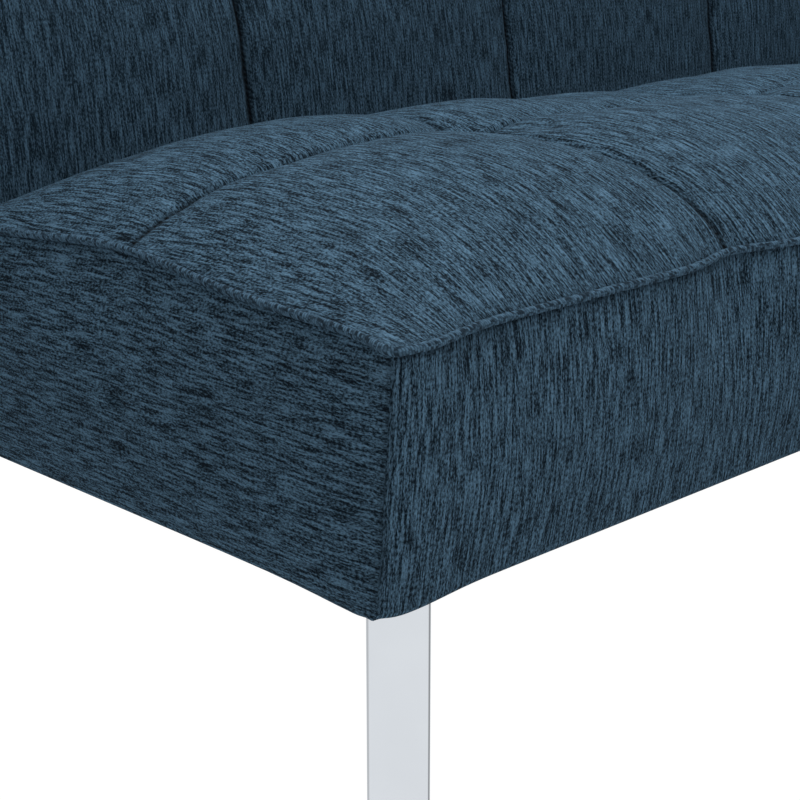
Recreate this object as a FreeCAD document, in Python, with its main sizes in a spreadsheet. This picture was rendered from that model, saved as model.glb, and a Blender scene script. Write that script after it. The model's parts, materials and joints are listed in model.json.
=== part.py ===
import FreeCAD, Part
import os

import Sketcher
from FreeCAD import Vector

# Futon sofa bed with an armless seat and a click-clack back.
# Frame: +X along the seat to the right, +Y to the back, +Z up, origin on the floor under the middle.
# The back leans at rest; its own frame has its origin on the pivot line and +Z along its length.

SIZES = {
    # overall sizes
    "seat_width": 1680, "seat_depth": 475, "seat_underside": 160, "seat_side_height": 162,
    "seat_crown": 60, "crown_run": 95, "back_length": 540, "back_thickness": 190, "back_lean": 12,
    "back_travel": 78, "forward_travel": 8,
    # soft parts
    "cover_thick": 1.5, "foam_border": 18, "welt_radius": 2.8, "welt_out": 0.7, "welt_ahead": 0.75,
    "welt_up": 0.95, "heel_front_radius": 66,
    "heel_rear_radius": 50, "top_rear_radius": 30, "dust_thick": 1, "dust_clearance": 1, "sweep_clearance": 6,
    "tail_clearance": 7,
    # wooden frames
    "board_thick": 25, "seat_board_height": 84, "frame_lift": 6, "slat_thick": 12, "slat_wide": 60,
    "slat_count": 9, "slat_margin": 30, "back_board_front": 32, "back_board_rear": 78,
    "panel_thick": 3, "back_slat_count": 4, "back_slat_low": 60, "block_size": 80, "block_height": 60,
    # legs
    "leg_wide": 40, "leg_thick": 20, "leg_wall": 1.5, "leg_corner": 2.5, "leg_from_end": 57,
    "leg_from_front": 43, "plate_thick": 5, "front_plate": 82, "front_plate_shift": 9,
    "bolt_margin": 6.5, "front_bolt_near": 8,
    "front_bolt_far": 36, "rear_plate_long": 72, "rear_plate_wide": 46,
    "rear_bolt_out": 27,
    "glide_height": 4, "glide_inset": 1, "glide_plug": 12, "plug_clearance": 0.3,
    # steel base
    "tube_size": 30, "tube_wall": 2, "cap_thick": 3, "rail_gap": 0.5, "rail_from_end": 150,
    "rail_start": 90, "tube_behind_back": 7, "cross_tube_inset": 20, "spacer_long": 40,
    "buffer_radius": 14, "buffer_gap": 0.5, "buffer_from_end": 240,
    # hinge
    "hinge_plate_thick": 4, "hinge_radius": 40, "arm_thick": 5, "arm_gap": 0.5, "disc_radius": 36,
    "recess_radius": 30, "recess_margin": 12, "detent_radius": 4, "detent_lift": 1, "cut_over": 1,
    "lounge_angle": 40, "arm_reach": 235,
    "arm_wide": 36, "arm_bolt_first": 90, "arm_bolt_pitch": 60, "arm_bolt_count": 3,
    "pivot_radius": 6, "running_clearance": 0.05, "stile_clearance": 0.5, "nut_gap": 0.5,
    "slot_margin": 8, "slot_spare": 13, "plate_bolt_spread": 25,
    "pawl_thick": 4, "pawl_pin_back": -22, "pawl_pin_drop": 62, "pawl_boss_radius": 9,
    "pawl_pin_radius": 4, "nose_radius": 4, "nose_clearance": 0.8,
    # fasteners
    "bolt_radius": 4, "bolt_head_radius": 7, "bolt_head_height": 5, "bolt_bite": 20,
    "pivot_head_radius": 11, "pivot_head_height": 7.5, "pivot_nut_height": 10,
}

# What follows from the sizes above.
LAYOUT = {
    "half_thick": "Sizes.back_thickness / 2",
    "front_sweep": "sqrt(2) * (Layout.half_thick - Sizes.heel_front_radius) + Sizes.heel_front_radius",
    "rear_sweep": "sqrt(2) * (Layout.half_thick - Sizes.heel_rear_radius) + Sizes.heel_rear_radius",
    "rail_top": "Sizes.seat_underside - Sizes.rail_gap",
    "rail_bottom": "Layout.rail_top - Sizes.tube_size",
    "hinge_up": "Layout.rail_top + Layout.rear_sweep + Sizes.tail_clearance",
    "hinge_behind": "Sizes.seat_depth + Layout.front_sweep + Sizes.sweep_clearance",
    "back_reach": "Layout.hinge_behind + Sizes.top_rear_radius"
                  " + (Layout.half_thick - Sizes.top_rear_radius) * cos(Sizes.back_lean)"
                  " + (Sizes.back_length - Layout.half_thick - Sizes.top_rear_radius)"
                  " * sin(Sizes.back_lean)",
    "welt_proud": "(1 + Sizes.welt_out) * Sizes.welt_radius",
    "front_y": "(Layout.welt_proud - Layout.back_reach) / 2",
    "hinge_y": "Layout.front_y + Layout.hinge_behind",
    "rear_y": "Layout.front_y + Sizes.seat_depth",
    "half_width": "Sizes.seat_width / 2",
    "border": "Sizes.foam_border + Sizes.cover_thick",
    "frame_half": "Layout.half_width - Layout.border",
    "frame_bottom": "Sizes.seat_underside + Sizes.frame_lift",
    "frame_top": "Layout.frame_bottom + Sizes.seat_board_height",
    "frame_front": "Layout.front_y + Layout.border",
    "frame_deep": "Sizes.seat_depth - 2 * Layout.border",
    "rail_x": "Layout.half_width - Sizes.rail_from_end",
    "plate_in": "Layout.rail_x + Sizes.tube_size / 2",
    "plate_out": "Layout.plate_in + Sizes.hinge_plate_thick",
    "arm_out": "Layout.plate_in - Sizes.arm_gap",
    "arm_in": "Layout.arm_out - Sizes.arm_thick",
    "stile_in": "Layout.arm_in - Sizes.board_thick",
    "cross_y": "Layout.hinge_y + Layout.half_thick + Sizes.tube_behind_back",
    "cross_half": "Layout.half_width - Sizes.cross_tube_inset",
    "back_low": "Layout.border - Layout.half_thick",
    "back_high": "Sizes.back_length - Layout.half_thick - Layout.border",
    "bolt_near_y": "Layout.border + Sizes.board_thick + Sizes.bolt_margin - Sizes.leg_from_front",
    "leg_x": "Layout.half_width - Sizes.leg_from_end",
    "leg_y": "Layout.front_y + Sizes.leg_from_front",
    "buffer_height": "Layout.hinge_up - Layout.half_thick - Layout.rail_top - Sizes.buffer_gap",
}

FRAMES = {
    "back_pose": "placement(vector(0; Layout.hinge_y; Layout.hinge_up);"
                 " rotation(vector(1; 0; 0); -Sizes.back_lean))",
    "hinge_pose": "placement(vector(0; Layout.hinge_y; Layout.hinge_up); rotation(vector(1; 0; 0); 0))",
}

TO_YZ = ("1; 1; 1", "120")        # a flat outline's x, y and thickness go to Y, Z and +X
TIP_INBOARD = {1: ("0; 1; 0", "-90"), -1: ("0; 1; 0", "90")}
SIDES = {"right": 1, "left": -1}

doc = FreeCAD.newDocument("FutonSofaBed")
parts = []


def make_sheet():
    """The driving sizes, one aliased cell each."""
    sheet = doc.addObject("Spreadsheet::Sheet", "Sizes")
    for row, (name, value) in enumerate(SIZES.items(), start=1):
        sheet.set(f"A{row}", name)
        sheet.set(f"B{row}", str(value))
        sheet.setAlias(f"B{row}", name)
    doc.recompute()
    return sheet


def make_layout():
    """The places that follow from the driving sizes."""
    layout = doc.addObject("App::VarSet", "Layout")
    for name, text in LAYOUT.items():
        layout.addProperty("App::PropertyFloat", name, "Layout")
        layout.setExpression(name, text)
    for name, text in FRAMES.items():
        layout.addProperty("App::PropertyPlacement", name, "Layout")
        layout.setExpression(name, text)
    doc.recompute()
    return layout


def pose(x="0", y="0", z="0", turn=("1; 0; 0", "0"), frame=None):
    """A placement expression, in the room's frame or in one of the layout's frames."""
    axis, angle = turn
    text = f"placement(vector({x}; {y}; {z}); rotation(vector({axis}); {angle}))"
    return f"Layout.{frame} * {text}" if frame else text


def put(thing, where):
    if where:
        thing.setExpression("Placement", where)
    return thing


def sized(kind, name, where, **sizes):
    """A Part primitive with its sizes bound to expressions."""
    thing = doc.addObject(kind, name)
    for size, text in sizes.items():
        thing.setExpression(size, text)
    return put(thing, where)


def box(name, length, width, height, where):
    return sized("Part::Box", name, where, Length=length, Width=width, Height=height)


def rod(name, radius, height, where=None, **more):
    return sized("Part::Cylinder", name, where, Radius=radius, Height=height, **more)


def ball(name, radius, where):
    return sized("Part::Sphere", name, where, Radius=radius)


def joined(name, shapes, where=None):
    thing = doc.addObject("Part::MultiFuse", name)
    thing.Shapes = shapes
    return put(thing, where)


def grouped(name, shapes, where=None):
    thing = doc.addObject("Part::Compound", name)
    thing.Links = shapes
    return put(thing, where)


def cut(name, base, tool, where=None):
    thing = doc.addObject("Part::Cut", name)
    thing.Base = base
    thing.Tool = tool
    return put(thing, where)


def part(thing, label):
    """Marks an object as a sub-part of its own."""
    thing.Label = label
    parts.append(thing)
    return thing


def side_start(inner, thick, side):
    """X at which a piece of that thickness starts, on the right side or mirrored to the left."""
    return inner if side > 0 else f"-({inner}) - ({thick})"


def sketch_on(body, name, role="XY_Plane"):
    sketch = body.newObject("Sketcher::SketchObject", name)
    plane = [item for item in body.Origin.OriginFeatures if item.Role == role][0]
    sketch.AttachmentSupport = [(plane, "")]
    sketch.MapMode = "FlatFace"
    return sketch


def rectangle(sketch, wide, tall):
    """A rectangle about the sketch's origin with bound sides."""
    first = sketch.GeometryCount
    corners = [Vector(-5, -4, 0), Vector(5, -4, 0), Vector(5, 4, 0), Vector(-5, 4, 0)]
    for start, end in zip(corners, corners[1:] + corners[:1]):
        sketch.addGeometry(Part.LineSegment(start, end), False)
    for step in range(4):
        nearby = first + (step + 1) % 4
        sketch.addConstraint(Sketcher.Constraint("Coincident", first + step, 2, nearby, 1))
        kind = "Horizontal" if step % 2 == 0 else "Vertical"
        sketch.addConstraint(Sketcher.Constraint(kind, first + step))
    sketch.addConstraint(Sketcher.Constraint("Symmetric", first, 1, first + 2, 1, -1, 1))
    for step, text, word in ((0, wide, "across"), (1, tall, "along")):
        line = first + step
        number = sketch.addConstraint(Sketcher.Constraint("Distance", line, 1, line, 2, 8))
        sketch.renameConstraint(number, f"{word}{first}")
        sketch.setExpression(f"Constraints.{word}{first}", text)


def pad(body, sketch, height):
    feature = body.newObject("PartDesign::Pad", f"{body.Name}Pad")
    feature.Profile = sketch
    feature.setExpression("Length", height)
    doc.recompute()
    return feature


def round_edges(body, base, wanted, radius):
    """Rounds the edges of a feature whose middle passes the test."""
    names = [f"Edge{number}" for number, edge in enumerate(base.Shape.Edges, start=1)
             if wanted(edge)]
    fillet = body.newObject("PartDesign::Fillet", f"{body.Name}Round")
    fillet.Base = (base, names)
    fillet.setExpression("Radius", radius)
    doc.recompute()
    return fillet


def upright(edge):
    return abs(edge.tangentAt(edge.FirstParameter).z) > 0.99


def bar(name, wide, tall, length, where):
    """A plain rectangular bar, drawn and padded along its own z."""
    body = doc.addObject("PartDesign::Body", name)
    sketch = sketch_on(body, f"{name}Sketch")
    rectangle(sketch, wide, tall)
    pad(body, sketch, length)
    return put(body, where)


def tube(name, wide, tall, wall, length, where, corner=None):
    """A rectangular tube: two rectangles padded along its own z, with rounded corners if wanted."""
    body = doc.addObject("PartDesign::Body", name)
    outline = sketch_on(body, f"{name}Outline")
    rectangle(outline, wide, tall)
    feature = pad(body, outline, length)
    if corner:
        feature = round_edges(body, feature, upright, corner)
    hollow = sketch_on(body, f"{name}Hollow")
    rectangle(hollow, f"{wide} - 2 * {wall}", f"{tall} - 2 * {wall}")
    pocket = body.newObject("PartDesign::Pocket", f"{name}Pocket")
    pocket.Profile = hollow
    pocket.Type = "ThroughAll"
    pocket.Reversed = True
    doc.recompute()
    return put(body, where)


def bolt(name, radius, length, head_radius, head_height, where):
    """A hexagon-headed bolt with its tip along its own z and the head behind z = 0."""
    shank = rod(f"{name}Shank", radius, length)
    head = sized("Part::Prism", f"{name}Head", pose(z=f"-({head_height})"),
                 Circumradius=head_radius, Height=head_height)
    return joined(name, [shank, head], where)


def small_bolt(name, length, where):
    return bolt(name, "Sizes.bolt_radius", length, "Sizes.bolt_head_radius",
                "Sizes.bolt_head_height", where)


def pillow(name, inset):
    """The seat's outer form: upright sides and a sloping crown, drawn in by an inset."""
    wide = f"Sizes.seat_width - 2 * {inset}"
    deep = f"Sizes.seat_depth - 2 * {inset}"
    base = box(f"{name}Sides", wide, deep, "Sizes.seat_side_height",
               pose(f"{inset} - Layout.half_width", f"Layout.front_y + {inset}", "Sizes.seat_underside"))
    crown = sized(
        "Part::Wedge", f"{name}Crown",
        pose(f"{inset} - Layout.half_width", f"Layout.rear_y - {inset}",
             "Sizes.seat_underside + Sizes.seat_side_height", ("1; 0; 0", "90")),
        Xmin="0", Xmax=wide, Ymin="0", Ymax=f"Sizes.seat_crown - {inset}", Zmin="0", Zmax=deep,
        X2min="Sizes.crown_run", X2max=f"{wide} - Sizes.crown_run",
        Z2min="Sizes.crown_run", Z2max=f"{deep} - Sizes.crown_run")
    return joined(name, [base, crown])


def make_seat_upholstery():
    outer = pillow("SeatOuter", "0")
    inner = pillow("SeatInner", "Sizes.cover_thick")
    room = box("SeatFrameRoom", "2 * Layout.frame_half", "Layout.frame_deep",
               "Layout.frame_top + Sizes.slat_thick - Sizes.seat_underside",
               pose("-Layout.frame_half", "Layout.frame_front", "Sizes.seat_underside"))
    part(cut("SeatCover", outer, inner), "seat_cover")
    part(cut("SeatFoam", inner, room), "seat_foam")
    out = "Layout.half_width + Sizes.welt_out * Sizes.welt_radius"
    front = "Layout.front_y - Sizes.welt_out * Sizes.welt_radius"
    rear = "Layout.rear_y + Sizes.welt_out * Sizes.welt_radius"
    level = "Sizes.seat_underside + Sizes.seat_side_height + Sizes.welt_up * Sizes.welt_radius"
    pieces = []
    for number, y in enumerate((front, rear)):
        pieces.append(rod(f"SeatWeltLong{number}", "Sizes.welt_radius", f"2 * ({out})",
                          pose(f"-({out})", y, level, ("0; 1; 0", "90"))))
    for side in SIDES.values():
        x = f"{side} * ({out})"
        pieces.append(rod(f"SeatWeltShort{1 + side}", "Sizes.welt_radius", f"{rear} - ({front})",
                          pose(x, rear, level, ("1; 0; 0", "90"))))
        for number, y in enumerate((front, rear)):
            pieces.append(ball(f"SeatWeltCorner{1 + side}{number}", "Sizes.welt_radius",
                               pose(x, y, level)))
    part(joined("SeatWelt", pieces), "seat_welt")
    make_dust_cover()


def make_dust_cover():
    """The thin cloth under the frame, cut away round the leg plates and the spacers."""
    level = "Layout.frame_bottom - Sizes.dust_thick"
    sheet = box("DustSheet", "2 * Layout.frame_half", "Layout.frame_deep", "Sizes.dust_thick",
                pose("-Layout.frame_half", "Layout.frame_front", level))
    spare = "2 * Sizes.front_plate_shift + Sizes.front_plate / 2 - Layout.border + Sizes.dust_clearance"
    corner_y = f"Sizes.leg_from_front + {spare}"
    corner_x = f"Sizes.leg_from_end + {spare}"
    notches = []
    for name, side in SIDES.items():
        notches.append(box(f"DustCorner{name}", corner_x, corner_y, "Sizes.dust_thick",
                           pose(side_start(f"Layout.frame_half - ({corner_x})", corner_x, side),
                                "Layout.frame_front", level)))
        rail_wide = "Sizes.tube_size + 2 * Sizes.dust_clearance"
        notches.append(box(f"DustStrip{name}", rail_wide, "Layout.frame_deep", "Sizes.dust_thick",
                           pose(side_start(f"Layout.rail_x - ({rail_wide}) / 2", rail_wide, side),
                                "Layout.frame_front", level)))
    part(cut("SeatDustCover", sheet, grouped("DustNotches", notches)), "seat_dust_cover")


def make_seat_frame(leg_bores, bearer_bores):
    """The wooden frame, bored for the leg bolts and the rail bolts."""
    for end, y in (("front", "Layout.frame_front"),
                   ("rear", "Layout.frame_front + Layout.frame_deep - Sizes.board_thick")):
        part(box(f"SeatRail{end}", "2 * Layout.frame_half", "Sizes.board_thick", "Sizes.seat_board_height",
                 pose("-Layout.frame_half", y, "Layout.frame_bottom")), f"seat_{end}_rail")
    between = "Layout.frame_deep - 2 * Sizes.board_thick"
    inner_y = "Layout.frame_front + Sizes.board_thick"
    for name, side in SIDES.items():
        end_x = side_start("Layout.frame_half - Sizes.board_thick", "Sizes.board_thick", side)
        part(box(f"SeatEnd{name}", "Sizes.board_thick", between, "Sizes.seat_board_height",
                 pose(end_x, inner_y, "Layout.frame_bottom")), f"seat_end_rail_{name}")
        bearer_x = side_start("Layout.rail_x - Sizes.board_thick / 2", "Sizes.board_thick", side)
        bearer = box(f"SeatBearer{name}", "Sizes.board_thick", between, "Sizes.seat_board_height",
                     pose(bearer_x, inner_y, "Layout.frame_bottom"))
        part(cut(f"SeatBearerBored{name}", bearer, grouped(f"BearerBores{name}", bearer_bores[name])),
             f"seat_bearer_{name}")
        block_x = side_start("Layout.frame_half - Sizes.board_thick - Sizes.block_size",
                             "Sizes.block_size", side)
        block = box(f"CornerBlock{name}", "Sizes.block_size", "Sizes.block_size", "Sizes.block_height",
                    pose(block_x, inner_y, "Layout.frame_bottom"))
        part(cut(f"CornerBlockBored{name}", block, grouped(f"BlockBores{name}", leg_bores[name])),
             f"corner_block_{name}")
    slats = []
    first = "(Sizes.slat_margin - Layout.frame_half)"
    step = f"(-2 * {first} - Sizes.slat_wide) / (Sizes.slat_count - 1)"
    for number in range(SIZES["slat_count"]):
        slats.append(box(f"SeatSlat{number}", "Sizes.slat_wide", "Layout.frame_deep", "Sizes.slat_thick",
                         pose(f"{first} + {number} * {step}", "Layout.frame_front", "Layout.frame_top")))
    part(grouped("SeatSlats", slats), "seat_slats")


def make_leg(name, x, y, top, turn, plate, bolt_places):
    """One leg: a flat chromed tube set across the corner, its top plate and its plastic glide.

    plate holds the plate's X and Y sizes and its middle's offsets from the leg.
    Returns the leg's bolts and rods that bore their holes."""
    bottom = "Sizes.glide_height"
    long, wide, shift_x, shift_y = plate
    under = f"{top} - Sizes.plate_thick"
    part(tube(f"Leg{name}", "Sizes.leg_wide", "Sizes.leg_thick", "Sizes.leg_wall",
              f"{under} - {bottom}", pose(x, y, bottom, ("0; 0; 1", turn)),
              "Sizes.leg_corner"), f"leg_{name}")
    blank = bar(f"Plate{name}", long, wide, "Sizes.plate_thick",
                pose(f"{x} + {shift_x}", f"{y} + {shift_y}", under))
    bolts = []
    bores = []
    holes = []
    for number, (across, along) in enumerate(bolt_places):
        where = pose(f"{x} + {across}", f"{y} + {along}", under)
        bolts.append(small_bolt(f"LegBolt{name}{number}", "Sizes.plate_thick + Sizes.bolt_bite", where))
        bores.append(rod(f"LegBore{name}{number}", "Sizes.bolt_radius",
                         "Sizes.plate_thick + Sizes.bolt_bite", where))
        holes.append(rod(f"PlateHole{name}{number}", "Sizes.bolt_radius + Sizes.running_clearance",
                         "Sizes.plate_thick", where))
    part(cut(f"LegPlate{name}", blank, grouped(f"Plate{name}Holes", holes)), f"leg_plate_{name}")
    foot = bar(f"Foot{name}", "Sizes.leg_wide - 2 * Sizes.glide_inset",
               "Sizes.leg_thick - 2 * Sizes.glide_inset", "Sizes.glide_height", None)
    room = "2 * (Sizes.leg_wall + Sizes.plug_clearance)"
    plug = bar(f"Plug{name}", f"Sizes.leg_wide - {room}", f"Sizes.leg_thick - {room}",
               "Sizes.glide_plug", pose(z="Sizes.glide_height"))
    part(joined(f"Glide{name}", [foot, plug], pose(x, y, "0", ("0; 0; 1", turn))), f"glide_{name}")
    return bolts, bores


def make_legs():
    """The four legs with their bolts. Returns the bores for the corner blocks and the cross tube."""
    bolts = []
    front_bores = {}
    rear_bores = []
    for name, side in SIDES.items():
        x = f"{side} * Layout.leg_x"
        inward = -side
        near, far = f"{inward} * Sizes.front_bolt_near", f"{inward} * Sizes.front_bolt_far"
        plate = ("Sizes.front_plate", "Sizes.front_plate", f"{inward} * Sizes.front_plate_shift * 2",
                 "Sizes.front_plate_shift * 2")
        made, front_bores[name] = make_leg(
            f"front_{name}", x, "Layout.leg_y", "Layout.frame_bottom", str(side * 45), plate,
            [(far, "Layout.bolt_near_y"), (near, "Sizes.front_bolt_far")])
        bolts += made
        plate = ("Sizes.rear_plate_long", "Sizes.rear_plate_wide", "0", "0")
        made, bores = make_leg(
            f"rear_{name}", x, "Layout.cross_y", "Layout.rail_bottom", str(side * -45), plate,
            [("Sizes.rear_bolt_out", "0"), ("-Sizes.rear_bolt_out", "0")])
        bolts += made
        rear_bores += bores
    part(grouped("LegBolts", bolts), "leg_bolts")
    return front_bores, rear_bores


def make_base(leg_bores):
    """The steel base: side rails, rear cross tube, spacers, caps and buffers.

    Returns the bores that the rail bolts need in the bearers."""
    bearer_bores = {}
    caps = []
    spacers = []
    rail_bolts = []
    rail_length = "Layout.cross_y - Sizes.tube_size / 2 - (Layout.front_y + Sizes.rail_start)"
    middle = "Layout.rail_top - Sizes.tube_size / 2"
    spacer_height = "Layout.frame_bottom - Layout.rail_top"
    for name, side in SIDES.items():
        x = f"{side} * Layout.rail_x"
        rail = tube(f"SideRail{name}", "Sizes.tube_size", "Sizes.tube_size", "Sizes.tube_wall",
                    rail_length, pose(x, "Layout.cross_y - Sizes.tube_size / 2", middle, ("1; 0; 0", "90")))
        holes = []
        bearer_bores[name] = []
        for number, y in enumerate(("Layout.front_y + Sizes.rail_start + Sizes.spacer_long / 2",
                                    "Layout.rear_y - Layout.border - Sizes.spacer_long")):
            length = "Sizes.tube_size + Sizes.spacer_long / 2 + Sizes.bolt_bite"
            rail_bolts.append(small_bolt(f"RailBolt{name}{number}", length, pose(x, y, "Layout.rail_bottom")))
            holes.append(rod(f"RailHole{name}{number}", "Sizes.bolt_radius + Sizes.running_clearance",
                             length, pose(x, y, "Layout.rail_bottom")))
            bearer_bores[name].append(rod(f"BearerBore{name}{number}", "Sizes.bolt_radius", length,
                                          pose(x, y, "Layout.rail_bottom")))
            block = box(f"Spacer{name}{number}", "Sizes.tube_size", "Sizes.spacer_long", spacer_height,
                        pose(f"{x} - Sizes.tube_size / 2", f"{y} - Sizes.spacer_long / 2",
                             "Layout.rail_top"))
            spacers.append(cut(f"SpacerBored{name}{number}", block, holes[-1]))
        for number in (-1, 1):
            holes.append(rod(f"PlateThread{name}{number}", "Sizes.bolt_radius", "Sizes.bolt_bite",
                             pose(f"{side} * Layout.plate_in",
                                  f"Layout.hinge_y + {number} * Sizes.plate_bolt_spread", middle,
                                  TIP_INBOARD[side])))
        part(cut(f"SideRailBored{name}", rail, grouped(f"RailHoles{name}", holes)), f"side_rail_{name}")
        caps.append(box(f"RailCap{name}", "Sizes.tube_size", "Sizes.cap_thick", "Sizes.tube_size",
                        pose(f"{x} - Sizes.tube_size / 2",
                             "Layout.front_y + Sizes.rail_start - Sizes.cap_thick", "Layout.rail_bottom")))
        cap_x = side_start("Layout.cross_half", "Sizes.cap_thick", side)
        caps.append(box(f"CrossCap{name}", "Sizes.cap_thick", "Sizes.tube_size", "Sizes.tube_size",
                        pose(cap_x, "Layout.cross_y - Sizes.tube_size / 2", "Layout.rail_bottom")))
        part(rod(f"Buffer{name}", "Sizes.buffer_radius", "Layout.buffer_height",
                 pose(f"{side} * (Layout.half_width - Sizes.buffer_from_end)", "Layout.cross_y",
                      "Layout.rail_top")), f"buffer_{name}")
    cross = tube("CrossTube", "Sizes.tube_size", "Sizes.tube_size", "Sizes.tube_wall",
                 "2 * Layout.cross_half",
                 pose("-Layout.cross_half", "Layout.cross_y", middle, ("0; 1; 0", "90")))
    part(cut("CrossTubeBored", cross, grouped("CrossTubeBores", leg_bores)), "rear_cross_tube")
    part(grouped("TubeCaps", caps), "tube_caps")
    part(grouped("RailSpacers", spacers), "rail_spacers")
    part(grouped("RailBolts", rail_bolts), "rail_bolts")
    return bearer_bores


def make_hinge_base():
    """The fixed half of the hinge on each side rail, with its pivot bolt and sprung pawl."""
    plate_bolts = []
    pivot_bolts = []
    pivot_nuts = []
    pawl_pins = []
    stack = "Layout.plate_out - Layout.stile_in + Sizes.nut_gap"
    for name, side in SIDES.items():
        blank = box(f"HingePlate{name}Foot", "2 * Sizes.hinge_radius", "Layout.hinge_up - Layout.rail_bottom",
                    "Sizes.hinge_plate_thick",
                    pose("-Sizes.hinge_radius", "Layout.rail_bottom - Layout.hinge_up", "0"))
        crown = rod(f"HingePlate{name}Crown", "Sizes.hinge_radius", "Sizes.hinge_plate_thick")
        body = joined(f"HingePlate{name}Blank", [blank, crown])
        holes = [rod(f"HingePlate{name}Bore", "Sizes.pivot_radius + Sizes.running_clearance",
                     "Sizes.hinge_plate_thick"),
                 rod(f"HingePlate{name}PinBore", "Sizes.pawl_pin_radius", "Sizes.hinge_plate_thick",
                     pose("Sizes.pawl_pin_back", "-Sizes.pawl_pin_drop", "0"))]
        level = "Layout.rail_bottom + Sizes.tube_size / 2"
        for number in (-1, 1):
            holes.append(rod(f"HingePlate{name}Hole{number}", "Sizes.bolt_radius + Sizes.running_clearance",
                             "Sizes.hinge_plate_thick",
                             pose(f"{number} * Sizes.plate_bolt_spread", f"{level} - Layout.hinge_up", "0")))
            head_x = f"{side} * Layout.plate_out"
            plate_bolts.append(small_bolt(
                f"PlateBolt{name}{number}", "Sizes.hinge_plate_thick + Sizes.bolt_bite",
                pose(head_x, f"Layout.hinge_y + {number} * Sizes.plate_bolt_spread", level,
                     TIP_INBOARD[side])))
        plate_x = side_start("Layout.plate_in", "Sizes.hinge_plate_thick", side)
        part(cut(f"HingePlate{name}", body, grouped(f"HingePlate{name}Holes", holes),
                 pose(plate_x, frame="hinge_pose", turn=TO_YZ)), f"hinge_plate_{name}")
        pivot_bolts.append(bolt(f"PivotBolt{name}", "Sizes.pivot_radius",
                                f"{stack} + Sizes.pivot_nut_height", "Sizes.pivot_head_radius",
                                "Sizes.pivot_head_height",
                                pose(f"{side} * Layout.plate_out", frame="hinge_pose",
                                     turn=TIP_INBOARD[side])))
        nut = sized("Part::Prism", f"PivotNut{name}Blank", None, Circumradius="Sizes.pivot_head_radius",
                    Height="Sizes.pivot_nut_height")
        thread = rod(f"PivotNut{name}Thread", "Sizes.pivot_radius", "Sizes.pivot_nut_height")
        pivot_nuts.append(cut(f"PivotNut{name}", nut, thread,
                              pose(f"{side} * (Layout.plate_out - ({stack}))", frame="hinge_pose",
                                   turn=TIP_INBOARD[side])))
        pin = rod(f"PawlPin{name}Shank", "Sizes.pawl_pin_radius",
                  "Layout.plate_out - Layout.arm_in - Sizes.arm_gap")
        pawl_pins.append(put(pin, pose(f"{side} * Layout.plate_out", "Sizes.pawl_pin_back",
                                       "-Sizes.pawl_pin_drop", TIP_INBOARD[side], "hinge_pose")))
        make_pawl(name, side)
    part(grouped("PlateBolts", plate_bolts), "hinge_plate_bolts")
    part(grouped("PivotBolts", pivot_bolts), "pivot_bolts")
    part(grouped("PivotNuts", pivot_nuts), "pivot_nuts")
    part(grouped("PawlPins", pawl_pins), "pawl_pins")


def make_pawl(name, side):
    """The pawl: a boss on its pin, a straight lever and a round nose under the arm's recess."""
    pin_x = "Sizes.pawl_pin_back"
    pin_y = "-Sizes.pawl_pin_drop"
    nose_y = "-(Sizes.recess_radius + Sizes.nose_clearance + Sizes.nose_radius)"
    boss = rod(f"Pawl{name}Boss", "Sizes.pawl_boss_radius", "Sizes.pawl_thick", pose(pin_x, pin_y))
    nose = rod(f"Pawl{name}Nose", "Sizes.nose_radius", "Sizes.pawl_thick", pose("0", nose_y))
    rise = f"({nose_y} - ({pin_y}))"
    run = f"(0 - {pin_x})"
    angle = f"atan({rise} / {run})"
    lever = box(f"Pawl{name}Lever", f"sqrt({rise} * {rise} + {run} * {run})", "2 * Sizes.nose_radius",
                "Sizes.pawl_thick",
                pose(f"{pin_x} + Sizes.nose_radius * sin({angle})",
                     f"{pin_y} - Sizes.nose_radius * cos({angle})", "0", ("0; 0; 1", angle)))
    bore = rod(f"Pawl{name}Bore", "Sizes.pawl_pin_radius + Sizes.running_clearance", "Sizes.pawl_thick",
               pose(pin_x, pin_y))
    start = side_start("Layout.arm_out - Sizes.pawl_thick", "Sizes.pawl_thick", side)
    part(cut(f"Pawl{name}", joined(f"Pawl{name}Blank", [boss, nose, lever]), bore,
             pose(start, frame="hinge_pose", turn=TO_YZ)), f"pawl_{name}")


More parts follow.
